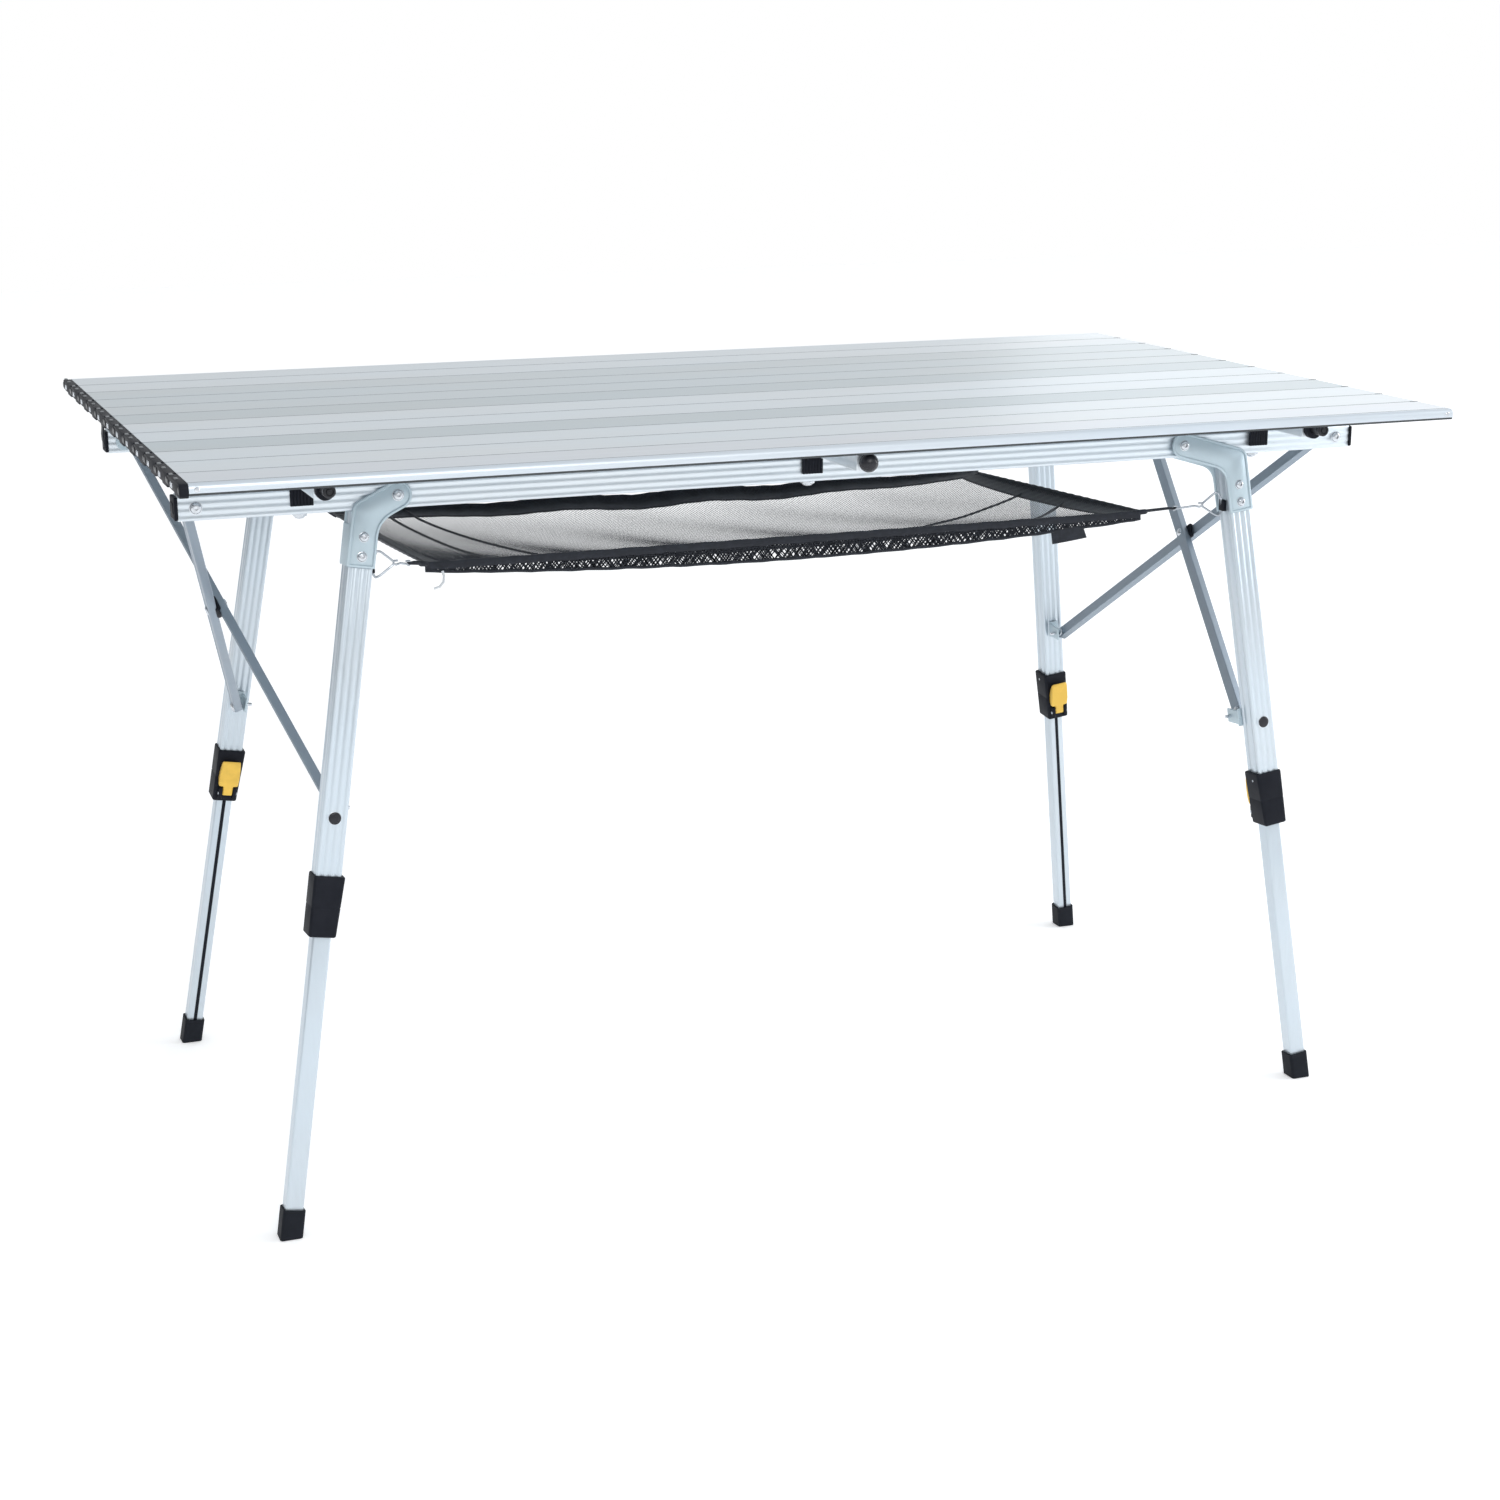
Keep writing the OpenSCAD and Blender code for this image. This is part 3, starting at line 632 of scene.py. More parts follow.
def make_rail(row_name):
    row = ROWS[row_name]
    body = row_name + "_frame"
    flutes = (-6.2, 0.0, 6.2)
    bm = bmesh.new()
    place = METRES @ shift(0, row * RAIL_Y, RAIL_Z) @ ACROSS
    outline = tube_outline(RAIL_W, RAIL_H, 1.8, wide=(0.0,), deep=flutes, groove=4.4, depth=0.55)
    slab(bm, outline, -RAIL_L / 2, RAIL_L / 2, place, 0.2)
    finish_piece(row_name + "_rail_extrusion", bm, "frame_aluminium", body, [row_name + "_rail"],
                 smooth=40)

    bm = bmesh.new()
    pad_top = BAR_Z - BAR_W / 2 - 0.3
    out = METRES @ shift(0, row * RAIL_Y, 0) @ flipped(1, row, 1)
    for side in (-1, 1):
        cap = out @ pointing((side, 0, 0), (side * RAIL_L / 2, 0, RAIL_Z))
        slab(bm, tube_outline(RAIL_H, RAIL_W, 1.6), 0.0, 3.2, cap, 0.8)
        slab(bm, tube_outline(RAIL_H * 0.55, RAIL_W * 0.5, 2.0), 3.0, 3.8, cap, 0.5)
    for x in (-BAR_X, 0, BAR_X):
        seat = out @ shift(x, 0, 0)
        slab(bm, tube_outline(20, 20, 1.2), RAIL_TOP, pad_top, seat, 0.5)
        ribs = tube_outline(20, 3.4, 0.8, wide=(-7.2, -4.3, -1.4, 1.4, 4.3, 7.2), groove=1.3,
                            depth=0.55, centre=(0, RAIL_W / 2 + 1.75))
        slab(bm, ribs, RAIL_Z - 3.4, pad_top, seat, 0.6)
    finish_piece(row_name + "_rail_saddles", bm, "black_plastic", body,
                 [row_name + "_rail_plastics"])

    bm = bmesh.new()
    for x in (-BAR_X, 0, BAR_X):
        under = out @ pointing((0, 0, -1), (x, 0, RAIL_Z - RAIL_H / 2))
        nut(bm, under, 11.5, 3.0)
        lathe(bm, [(5.2, 2.6), (5.0, 3.4), (3.9, 4.6), (2.2, 5.2), (0.5, 5.4)], under)
        if (1 if x > 0 else -1) == row:
            lathe(bm, [(4.6, 0), (4.6, 0.6), (3.6, 1.2), (1.0, 1.5)],
                  out @ pointing((0, 0, 1), (x, 0, BAR_Z + BAR_W / 2 - 1.6)))
        else:
            lathe(bm, [(2.9, 0), (2.9, 26)], out @ shift(x, 0, RAIL_Z - 13), steps=12)
    for x in (-END_X, END_X):
        dome_bolt(bm, out @ pointing((0, 1, 0), (x, RAIL_W / 2, RAIL_Z)), 5.6)
        tail = out @ pointing((0, -1, 0), (x, -RAIL_W / 2, RAIL_Z))
        lathe(bm, [(2.9, 0), (2.9, 3.0)], tail, steps=16)
    finish_piece(row_name + "_rail_fasteners", bm, ["bolt_steel", "painted_recess_shade"], body,
                 [row_name + "_rail_bolts"])


# ---- Cross bars ----

def make_cross_bar(name, x):
    body = f"cross_bar_{name}_arm"
    reach = CENTRE_REACH if x == 0 else BAR_REACH
    bm = bmesh.new()
    along = METRES @ shift(x, 0, BAR_Z) @ Matrix.Rotation(pi / 2, 4, "X")
    outline = tube_outline(BAR_W, BAR_W, 1.6, wide=(0.0,), deep=(0.0,), groove=5.0, depth=0.5)
    slab(bm, outline, -reach, reach, along, 0.2)
    finish_piece(f"cross_bar_{name}_tube", bm, "frame_aluminium", body, [f"cross_bar_{name}"],
                 smooth=40)
    bm = bmesh.new()
    for row in (-1, 1):
        here = METRES @ shift(x, 0, BAR_Z) @ flipped(1, row, 1)
        for side in (-1, 1):
            cheek = (side * (BAR_W / 2 + 0.95), RAIL_Y + 1.5, -1.2)
            box_mm(bm, (1.9, 23, 14.6), cheek, here, 0.4, 0.7)
        end = here @ pointing((0, 1, 0), (0, reach, 0))
        if x == 0:
            ball = [(0.3, 15.9)]
            for degrees in (12, 24, 36, 48, 60, 72, 82, 98, 110, 125, 140):
                a = radians(degrees)
                if degrees == 98:
                    ball += [(8.1, 7.6), (8.1, 7.2)]
                ball.append((8.5 * sin(a), 7.5 + 8.5 * cos(a)))
            ball.append((5.2, 0.1))
            lathe(bm, ball[::-1], end, 32, 1)
        else:
            collar = here @ pointing((0, 1, 0), (0, reach, -0.5))
            lathe(bm, [(6.8, 0), (7.2, 0.4), (7.2, 1.8), (7.8, 2.0), (8.2, 2.5), (8.2, 8.2),
                       (7.6, 8.9), (6.2, 9.2)], collar, 32)
            peg = here @ pointing((0, 1, 0), (0, reach, 1))
            lathe(bm, [(5.2, 8), (5.4, 8.5), (5.4, 18.6), (5.0, 19.0), (5.0, 19.8), (5.5, 20.2),
                       (5.5, 23.2), (5.0, 23.9), (3.6, 24.1), (3.3, 23.2), (2.5, 23.0), (2.2, 23.7),
                       (0.5, 23.8)], peg, 28, 1)
    finish_piece(f"cross_bar_{name}_ends", bm, ["black_plastic", "glossy_plastic"], body,
                 [f"bar_ends_{name}"])


# ---- Elbow brackets ----

def corner_of(row_name, side_name):
    return ROWS[row_name], SIDES[side_name], f"{row_name}_{side_name}"


def bracket_outline(side):
    """The elbow's outline: round at the pivot and the bend, with a soft inner corner."""
    slope = radians(SPLAY[side])
    down = Vector((sin(slope), -cos(slope)))
    across = Vector((cos(slope), sin(slope)))
    bend = Vector((OFF[side] + ELBOW[side] * math.tan(slope), -ELBOW[side]))
    arm = math.atan2(bend.y, bend.x)
    along = Vector((cos(arm), sin(arm)))
    foot = Vector((OFF[side], 0)) + (BOLT_A + DROP[side] + BOLT_PITCH + PLATE_END) * down
    start = bend - ARM_R * across
    under = ARM_R * Vector((sin(arm), -cos(arm)))
    corner = start + (along.cross(under - start) / along.cross(down)) * down
    into, out = corner - 13 * along, corner + 13 * down
    degrees = math.degrees(arm)
    points = arc((0, 0), ARM_R, degrees - 90, degrees - 270, 16)
    points += arc(bend, ARM_R, degrees + 90, SPLAY[side], 12)
    points += [tuple(foot + ARM_R * across), tuple(foot - ARM_R * across)]
    for i in range(11):
        t = i / 10
        points.append(tuple((1 - t) ** 2 * out + 2 * t * (1 - t) * corner + t * t * into))
    return points[::-1]


def make_bracket(row_name, side_name):
    row, side, which = corner_of(row_name, side_name)
    place = leg_place(row, side)
    outline = bracket_outline(side)
    bm = bmesh.new()
    # Inset and height of each ring: a rounded rim, a pressed line along it and a flat middle.
    rim = [(0.7, -PLATE_T), (0, -PLATE_T + 0.5), (0, -0.9), (0.35, -0.3), (1.0, 0), (2.0, 0),
           (2.5, -0.9), (3.1, -0.9), (3.7, -0.25)]
    half = PLATE_IN + PLATE_T
    rings = [[(x, half + up, y) for x, y in shrink(outline, inset)] for inset, up in rim]
    for face in (1, -1):
        skin(bm, rings, place @ flipped(1, face, 1))
    wall_low = -(BOLT_A + DROP[side] + BOLT_PITCH + PLATE_END) + 0.5
    wall = leg_axis(row, side) @ shift(ARM_R - 0.6, 0, 0)
    slab(bm, tube_outline(2.2, 2 * half - 1.0, 0.9), wall_low, wall_low + 36, wall, 0.7)
    leg = "leg_" + which
    finish_piece(f"bracket_{which}_plates", bm, "bracket_metal", leg,
                 [f"bracket_{which}"], smooth=50)

    bm = bmesh.new()
    spots = [(place, (0, 0, 0), 5.2)]
    spots += [(leg_axis(row, side), (0, 0, -a - DROP[side]), 4.6)
              for a in (BOLT_A, BOLT_A + BOLT_PITCH)]
    for where, (x, y, z), radius in spots:
        dome_bolt(bm, where @ pointing((0, 1, 0), (x, half - 0.1, z)), radius)
        nut(bm, where @ pointing((0, -1, 0), (x, -half + 0.1, z)), 8.6, 2.2)
        end = where @ pointing((0, -1, 0), (x, -half, z))
        lathe(bm, [(2.2, 0), (2.2, 3.0), (1.7, 3.4)], end, steps=16)
    finish_piece(f"bracket_{which}_bolts", bm, ["bolt_steel", "painted_recess_shade"], leg)


# ---- Legs ----

def make_leg(row_name, side_name):
    row, side, which = corner_of(row_name, side_name)
    axis = leg_axis(row, side)
    leg, extension, lever = "leg_" + which, "extension_" + which, "lever_" + which

    bm = bmesh.new()
    outline = tube_outline(UPPER_W, UPPER_D, 1.8, wide=(-6.4, 0.0, 6.4), deep=(-5.6, 5.6),
                           groove=3.6, depth=0.8)
    slab(bm, outline, -CLAMP_S - 30, -14.5, axis, 0.3)
    lug_x = (-BRACE_SIDE if row < 0 else BRACE_SIDE) - BRACE_T / 2 - 3.7
    lug_size = (2.5, LUG_IN + 6 - UPPER_D / 2 - 1, 14)
    lug = (lug_x - 1.25, -(LUG_IN + 6 + UPPER_D / 2 + 1) / 2, -LUG_S)
    box_mm(bm, lug_size, lug, axis, 0.5, 1.0, 1)
    box_mm(bm, (11, 1.6, 18), (lug_x + 3.0, -UPPER_D / 2 - 1.1, -LUG_S), axis, 0.5, 0.7, 1)
    end = axis @ pointing((-1, 0, 0), (lug_x - 2.4, -LUG_IN, -LUG_S))
    lathe(bm, [(1.8, 0), (1.8, 5.5), (1.3, 6.0)], end, 16, 2)
    finish_piece(f"upper_leg_{which}_tube", bm,
                 ["leg_aluminium", "bracket_metal", "bolt_steel"], leg,
                 [f"upper_leg_{which}"], smooth=40)

    bm = bmesh.new()
    plug = axis @ pointing((0, 1, 0), (0, UPPER_D / 2, -LUG_S - 4))
    lathe(bm, [(5.6, -0.9), (5.6, 0.3), (5.0, 0.8), (4.2, 1.0), (2.6, 1.25), (0.6, 1.35)], plug, 28)
    lathe(bm, [(5.9, -0.9), (5.9, 0.1), (5.6, 0.2)], plug, 28, 1)
    finish_piece(f"upper_leg_{which}_plug", bm, ["glossy_plastic", "bolt_steel"], leg)

    # The clamp: a tapered collar with a shallow step round its middle and the lever's two jaws.
    bm = bmesh.new()
    base = axis @ shift(0, 0, -CLAMP_S - CLAMP_L)
    rings = []
    for z, inset in ((0, 1.4), (0.5, 0.5), (1.4, 0.0), (26.0, 0.0), (26.5, 0.25), (27.2, 0.25),
                     (27.7, 0.0), (53.6, 0.0), (54.6, 0.4), (55.0, 1.2)):
        inner = CLAMP_IN - TAPER * (1 - z / CLAMP_L)
        outline = tube_outline(CLAMP_OUT + inner, CLAMP_D, 2.6, centre=((CLAMP_OUT - inner) / 2, 0))
        rings.append([(x, y, z) for x, y in shrink(outline, inset)])
    skin(bm, rings, base)
    hinge_z = CLAMP_L - LEVER_S
    for x in (-1, 1):
        jaw = (x * (STEM_W / 2 + 2.2), -CLAMP_D / 2 - 2.4, hinge_z)
        box_mm(bm, (3.8, 7.0, 12.5), jaw, base, 0.7, 1.4)
        pin = base @ pointing((x, 0, 0), (x * (STEM_W / 2 + 4.1), -CLAMP_D / 2 - 3.2, hinge_z))
        lathe(bm, [(1.7, 0), (1.7, 0.5), (1.3, 0.8)], pin, 16, 1)
    screw = base @ pointing((-1, 0, 0), (-CLAMP_IN + 0.5, 2, CLAMP_L - 8))
    lathe(bm, [(1.2, 0), (1.2, 0.25), (0.5, 0.3)], screw, 12, 1)
    finish_piece(f"clamp_{which}_collar", bm, ["black_plastic", "wire_steel"], leg,
                 [f"clamp_{which}"])

    # The cam lever: bowed, wide above and narrow at the stem between the jaws.
    bm = bmesh.new()
    pivot = base @ shift(0, -CLAMP_D / 2 - 2.9, hinge_z)
    # Height, half width, and the inner and outer faces' depth, from the stem's foot up.
    stations = [(-2.0, 4.6, 0.6, -0.8), (-1.6, 4.9, 1.6, -1.8), (0.0, 5.0, 2.4, -2.4),
                (7.4, 5.0, 1.4, -2.6), (8.0, 5.2, 1.2, -2.8), (8.6, 9.4, 1.2, -2.9),
                (9.6, 9.9, 1.6, -3.1), (16.0, 10.4, 2.3, -3.9), (22.0, 10.2, 2.2, -4.5),
                (28.0, 9.9, 0.8, -5.0), (33.0, 9.5, -1.6, -5.3), (35.2, 9.2, -3.0, -5.2),
                (36.0, 8.6, -3.9, -4.8)]
    skin(bm, [[(-w + 0.7, back, z), (-w, back - 0.8, z), (-w, face + 0.8, z), (-w + 0.8, face, z),
               (w - 0.8, face, z), (w, face + 0.8, z), (w, back - 0.8, z), (w - 0.7, back, z)]
              for z, w, back, face in stations], pivot)
    finish_piece(f"cam_lever_{which}_grip", bm, "yellow_plastic", lever,
                 [f"cam_lever_{which}"], smooth=42)

    bm = bmesh.new()
    bottom = leg_length(side) - 8
    outline = tube_outline(LOWER_W, LOWER_D, 1.8)
    slab(bm, outline, -bottom, -CLAMP_S + 6, axis, 0.3)
    strip = tube_outline(3.6, 1.0, 0.3, centre=(0, -LOWER_D / 2 + 0.05))
    slab(bm, strip, -bottom + 8, -CLAMP_S, axis, 0.1, 1)
    finish_piece(f"lower_leg_{which}_tube", bm, ["leg_aluminium", "black_plastic"], extension,
                 [f"lower_leg_{which}"], smooth=40)
    bevelled_copy(f"foot_{which}", "foot_rubber", 1.6, 3)


# ---- Braces ----

def brace_frame(row, side):
    """The brace's frame at rest, with its upper end at the origin, and its length."""
    target = leg_axis(-row, side) @ Vector((0, -LUG_IN, -LUG_S)) / MM
    hang = Vector((side * END_X, row * (RAIL_Y - RAIL_W / 2 - HANG_IN), RAIL_Z))
    run = Vector(((target.x - hang.x) * side, (target.y - hang.y) * -row, target.z - hang.z))
    swing, lean = math.atan2(-run.x, -run.z), math.asin(run.y / run.length)
    swivel = METRES @ shift(*hang) @ flipped(side, -row, 1) @ Matrix.Rotation(swing, 4, "Y")
    return swivel @ Matrix.Rotation(lean, 4, "X"), run.length


def make_brace(row_name, side_name):
    row, side, which = corner_of(row_name, side_name)
    brace, length = brace_frame(row, side)
    middle = BRACE_SIDE if row < 0 else -BRACE_SIDE
    place = brace @ shift(middle, 0, 0)
    # A channel-backed flat bar: rounded ends, drawn in the YZ plane and thick along X.
    turned = place @ ACROSS
    r = BRACE_W / 2
    outline = arc((0, -length), r, 180, 360, 10) + arc((0, 0), r, 0, 180, 10)
    half = BRACE_T / 2
    rim = [(0.5, -half), (0, -half + 0.5), (0, half - 0.5), (0.5, half), (2.2, half),
           (2.9, half - 0.6)]
    bm = bmesh.new()
    skin(bm, [[(y, z, x) for y, z in shrink(outline, inset)] for inset, x in rim], turned)
    for z, x in ((0, 1), (-length, 1), (-length, -1)):
        lathe(bm, [(4.6, -0.4), (4.6, 0.5), (4.0, 1.3), (2.4, 1.8), (0.5, 1.9)],
              place @ pointing((x, 0, 0), (x * half, 0, z)), 20, 1)
    down = crossing(side, row)
    if row < 0:
        box_mm(bm, (5.6, 16.0, 20.0), (-half - 1.0, 0, -down), place, 1.2, 2.5, 2)
    rivet = place @ pointing((-row, 0, 0), (-row * half, 0, -down))
    lathe(bm, [(4.2, -0.4), (4.2, 0.5), (3.6, 1.2), (2.2, 1.7), (0.5, 1.8)], rivet, 20, 1)
    finish_piece(f"brace_{which}_bar", bm, ["brace_metal", "bolt_steel", "black_plastic"],
                 f"brace_arm_{which}", [f"brace_{which}"], smooth=40)
    bevelled_copy(f"swivel_{which}", "bracket_metal", 0.4)


def crossing(side, row):
    """How far down its length a brace passes the other one at its end."""
    lines = []
    for each in (row, -row):
        brace, length = brace_frame(each, side)
        middle = -each * BRACE_SIDE
        lines += [brace @ Vector((middle, 0, 0)), brace @ Vector((middle, 0, -length))]
    near = intersect_line_line(*lines)[0]
    return (near - lines[0]).length / MM


# ---- Net shelf ----

def net_point(x, y, lift):
    """A point of the stretched net, which dips like a shallow tray from its four edges."""
    u, v = (x + NET_X) / (2 * NET_X), (y + NET_Y) / (2 * NET_Y)
    u, v = min(max(u, 0), 1), min(max(v, 0), 1)
    dip = NET_SAG * sin(pi * u) ** 0.45 * sin(pi * v) ** 0.4
    wave = 0.9 * sin(x * 0.047 + y * 0.031) * sin(pi * u) * sin(pi * v)
    slack = 2.2 * sin(pi * u) * sin(x * 0.040) * v ** 3
    return Vector((x, y, NET_FRONT + (NET_BACK - NET_FRONT) * v - dip + wave + slack + lift))


def strand(bm, points):
    """A flat yarn along points of the net."""
    rings = []
    for i, here in enumerate(points):
        ahead = points[min(i + 1, len(points) - 1)] - points[max(i - 1, 0)]
        across = ahead.cross(UP).normalized() * YARN_W / 2
        up = across.cross(ahead).normalized() * YARN_T / 2
        rings.append([here + across + up, here - across + up, here - across - up,
                      here + across - up])
    skin(bm, rings, METRES)


def clipped_diagonal(offset, slope):
    """The part of the line y = slope * x + offset that crosses the net."""
    ends = sorted((edge - offset) / slope for edge in (-NET_Y, NET_Y))
    return max(ends[0], -NET_X), min(ends[1], NET_X)


def soft_piece(name, bm, look, replaced=(), smooth=50):
    """A piece of the net, which rides on the front frame."""
    piece = finish_piece(name, bm, look, "front_frame", replaced, smooth)
    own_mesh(piece)
    return piece


def make_net():
    bm = bmesh.new()
    step = NET_PITCH * math.sqrt(2)
    for slope in (-1, 1):
        count = int((NET_X + NET_Y) / step)
        for i in range(-count, count + 1):
            low, high = clipped_diagonal(i * step, slope)
            if high - low < 4:
                continue
            parts = max(1, round((high - low) / 10))
            line = [low + (high - low) * k / parts for k in range(parts + 1)]
            strand(bm, [net_point(x, slope * x + i * step, 0.18 * slope) for x in line])
    return soft_piece("net_mesh", bm, "net_yarn", ["net_shelf"])


def edge_band(bm, kind, side):
    """A folded hem along one edge of the net, with a rolled outer edge and a stitched inner one."""
    rings, count, width = [], 72, HEM_BAND[kind]
    for i in range(count + 1):
        t = -1 + 2 * i / count
        ring = []
        pucker = 0.35 * sin(i * 1.9) + 0.2 * sin(i * 4.3)
        section = [(-1.2, 0.5), (-0.2, 1.3), (1.4, 1.1), (2.2, 0.7), (width - 2.4, 0.7),
                   (width - 1.2, 1.0), (width + pucker, 0.6), (width + pucker, -0.6),
                   (width - 1.2, -0.9), (2.2, -0.8), (1.0, -1.2), (-0.6, -1.0), (-1.4, -0.3)]
        for inward, lift in section:
            if kind == "side":
                at = net_point(side * (NET_X - inward), t * NET_Y, lift + pucker * 0.6)
                at.x = side * (NET_X - inward)
            else:
                at = net_point(t * NET_X, NET_Y - inward, lift + pucker)
                at.y = NET_Y - inward
            ring.append(at)
        rings.append(ring)
    skin(bm, rings, METRES)


def hem_depth(x):
    """How far the front hem's rolled edge hangs below the net's edge."""
    return 7.6 + 13.8 * sin(pi * (x + NET_X) / (2 * NET_X)) ** 0.8


def make_net_hems():
    bm = bmesh.new()
    for side in (-1, 1):
        edge_band(bm, "side", side)
    edge_band(bm, "back", 1)
    hems = soft_piece("net_hems", bm, "hem_fabric", ["net_hem"])

    # The front hem hangs down: a tape, a strip of doubled mesh and a rolled lower edge.
    bm = bmesh.new()
    count = 96
    tape, roll = [], []
    for i in range(count + 1):
        x = -NET_X + 2 * NET_X * i / count
        pucker = 0.3 * sin(i * 2.3) + 0.2 * sin(i * 5.1)
        top = NET_FRONT + 0.5 + 0.25 * sin(i * 1.3)
        face = -NET_Y - 0.6 + 0.25 * pucker
        low = top - 7.0 + pucker * 0.5
        section = [(0, top - 0.8), (-0.2, low + 0.6), (0.2, low), (1.4, low), (1.8, low + 0.7),
                   (2.0, top - 0.8), (1.5, top), (0.4, top)]
        tape.append([(x, face + out, z) for out, z in section])
        base = top - hem_depth(x) + 0.3 * pucker
        roll.append(round_ring(Vector((x, face + 0.7, base)), 1.5, Vector((0, 1, 0)), UP))
    skin(bm, tape, METRES)
    skin(bm, roll, METRES)
    front = soft_piece("net_front_tape", bm, "hem_fabric")

    bm = bmesh.new()
    chance = random.Random(11)
    for depth in (0.4, 1.2):
        for slope in (-1, 1):
            x = -NET_X + 10
            while x < NET_X - 10:
                tall = hem_depth(x) - 6.0
                if tall > 2.5:
                    start = Vector((x, -NET_Y - 0.6 + depth, NET_FRONT - 6.0))
                    end = start + Vector((slope * tall * chance.uniform(0.6, 1.0), 0, -tall))
                    across, out = Vector((chance.uniform(0.5, 0.9), 0, 0)), Vector((0, 0.22, 0))
                    skin(bm, [[p - across - out, p + across - out, p + across + out,
                               p - across + out] for p in (start, end)], METRES)
                x += chance.uniform(2.3, 4.4)
    double = soft_piece("net_front_double_mesh", bm, "net_yarn", smooth=0)

    # Seams that run from the side hems to the front hem.
    bm = bmesh.new()
    for (x0, y0), (x1, y1) in NET_SEAMS:
        line = [net_point(x0 + (x1 - x0) * k / 14, y0 + (y1 - y0) * k / 14, 0.9) for k in range(15)]
        tube_along(bm, line, 1.3, 6)
    seams = soft_piece("net_seams", bm, "hem_fabric")

    # A blank tag sewn under the front hem.
    bm = bmesh.new()
    rings = []
    for i in range(9):
        t = i / 8
        bend = 0.8 * sin(pi * t)
        x, top = 262 + 34 * t, NET_FRONT - 13.0 + 4.0 * t
        y = -NET_Y - 0.2 - bend
        x_low = x + 1.5 + 3.0 * t
        rings.append([(x, y - 0.4, top), (x_low, y - 1.4, top - 12.5), (x_low, y - 0.8, top - 13),
                      (x_low, y - 0.2, top - 12.5), (x, y + 0.5, top)])
    skin(bm, rings, METRES)
    tag = soft_piece("net_tag", bm, "hem_fabric")
    return [hems, front, double, seams, tag]


def corner_spots(row, side):
    """The net's corner, the end of its elastic loop, the ring's tip and the leg's inner face."""
    height = (NET_FRONT if row < 0 else NET_BACK) - 1.0
    face = leg_axis(row, side) @ Vector((-UPPER_W / 2 - 0.8, 0, -62.0)) / MM
    corner = Vector((side * (NET_X - 1), row * (NET_Y - 1), height))
    tip = Vector((face.x - side * RING_W, row * 202.5, RING_Z))
    return corner, corner.lerp(tip, 0.58), tip, face


def hanging_piece(name, bm, look, row_name, replaced=()):
    """A loop or hook at the net's corner, which rides on its row's frame."""
    piece = finish_piece(name, bm, look, row_name + "_frame", replaced, smooth=50)
    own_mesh(piece)
    return piece


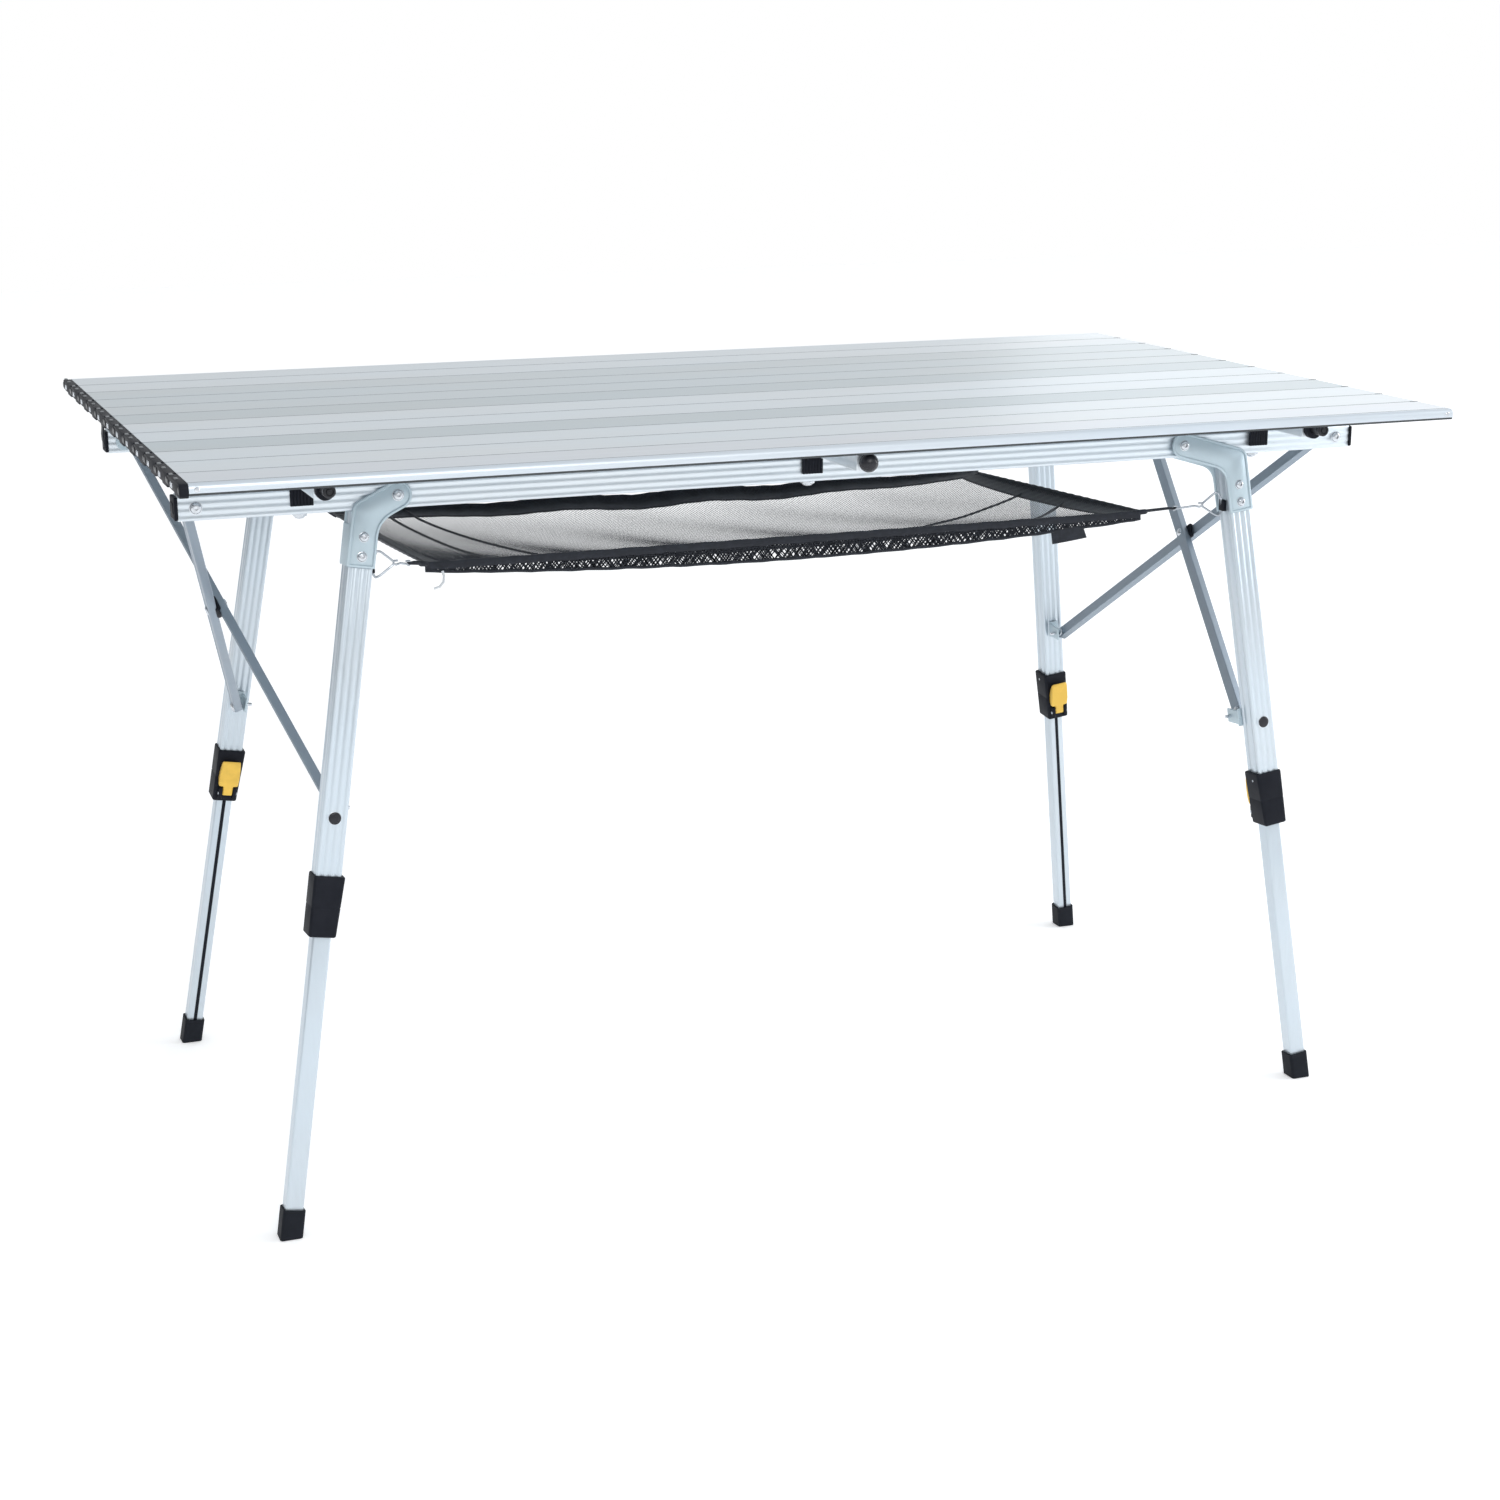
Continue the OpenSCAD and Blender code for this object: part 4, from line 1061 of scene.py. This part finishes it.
def make_net_hook(row_name, side_name):
    row, side, which = corner_of(row_name, side_name)
    corner, eye, tip, face = corner_spots(row, side)
    along = (tip - corner).normalized()
    aside = UP.cross(along).normalized()
    bm = bmesh.new()
    # Where from, then how far sideways, outward and up: out on one side and back on the other.
    loop = [(corner, 0, -6, 0), (corner, 0.9, 3, 0), (eye, 1.5, -8, 0), (eye, 1.5, -2, 0),
            (eye, 0, 1, 0), (eye, -1.5, -2, 0), (eye, -1.5, -8, 1.2), (corner, -0.9, 3, 1.2),
            (corner, 0, -6, 1)]
    loop = [start + wide * aside + far * along + high * UP for start, wide, far, high in loop]
    tube_along(bm, loop, LOOP_R)
    sleeve = [(0.6, -4), (2.2, -3.6), (2.6, -1), (2.6, 6), (1.8, 8), (1.0, 8.4)]
    lathe(bm, sleeve, METRES @ pointing(along, corner), 16)
    loops = hanging_piece(f"net_loop_{which}", bm, "hem_fabric", row_name)

    bm = bmesh.new()
    up = along.cross(aside).normalized()
    length = (tip - eye).length
    # How far from the loop's end towards the ring, and how high.
    hook = [(3, 1.8), (-1, 2.2), (-2.6, 0), (-1, -1.8), (2.5, -0.6), (length - 6, 0),
            (length - 1, -1.5), (length + 2.4, -0.4), (length + 2.0, 1.8), (length - 2.0, 2.2)]
    hook = [eye + far * along + high * up for far, high in hook]
    tube_along(bm, hook, HOOK_R)
    replaced = ["net_hooks"] if which == "front_left" else []
    wire = hanging_piece(f"net_hook_{which}", bm, "wire_steel", row_name, replaced)

    # The three-cornered ring, held by a clip inside the leg.
    bm = bmesh.new()
    far = face.x - side * 2.0
    nodes = [(tip.x, RING_Z), (far - side * 7.5, 606.5), (far - side * 4.0, 607.2), (far, 600.5),
             (far + side * 0.8, 588.5), (far - side * 1.6, 584.0), (far - side * 6.0, 585.2)]
    ring = []
    for i, here in enumerate(nodes):
        after = nodes[(i + 1) % len(nodes)]
        for t in (0.12, 0.5, 0.88):
            x, z = here[0] + (after[0] - here[0]) * t, here[1] + (after[1] - here[1]) * t
            ring.append(Vector((x, tip.y + (face.y - tip.y) * abs(x - tip.x) / 24, z)))
    rings = []
    for i, here in enumerate(ring):
        ahead = (ring[(i + 1) % len(ring)] - ring[i - 1]).normalized()
        out = ahead.cross(Vector((0, 1, 0))).normalized()
        other = ahead.cross(out)
        rings.append(round_ring(here, RING_R, out, other))
    skin(bm, rings + rings[:1], METRES, caps=False)
    bmesh.ops.remove_doubles(bm, verts=bm.verts, dist=1e-6)
    clip = METRES @ shift(face.x - side * 0.6, face.y, RING_Z - 0.5)
    box_mm(bm, (4.0, 9.0, 11.0), (0, 0, 0), clip, 0.6, 1.0, 1)
    finish_piece(f"net_ring_{which}", bm, ["wire_steel", "black_plastic"], "leg_" + which)
    return [loops, wire]


def make_net_shelf():
    net = make_net()
    sewn = make_net_hems()
    for row_word, side_word in CORNERS:
        sewn += make_net_hook(row_word, side_word)
    bm = bmesh.new()
    tail = [(-345, -188.5, 582), (-343.5, -189, 577), (-344.5, -189.5, 572),
            (-348, -189.5, 568), (-353, -189, 566.5)]
    tube_along(bm, tail, 1.2)
    sewn.append(soft_piece("net_tail", bm, "white_cord"))


make_camera()
make_studio()
for slat_number in range(1, SLAT_N + 1):
    make_slat(slat_number)
make_closing_strap()
for row_word in ROWS:
    make_rail(row_word)
for bar_name, bar_place in (("left", -BAR_X), ("centre", 0.0), ("right", BAR_X)):
    make_cross_bar(bar_name, bar_place)
for row_word, side_word in CORNERS:
    make_bracket(row_word, side_word)
    make_leg(row_word, side_word)
    make_brace(row_word, side_word)
make_net_shelf()
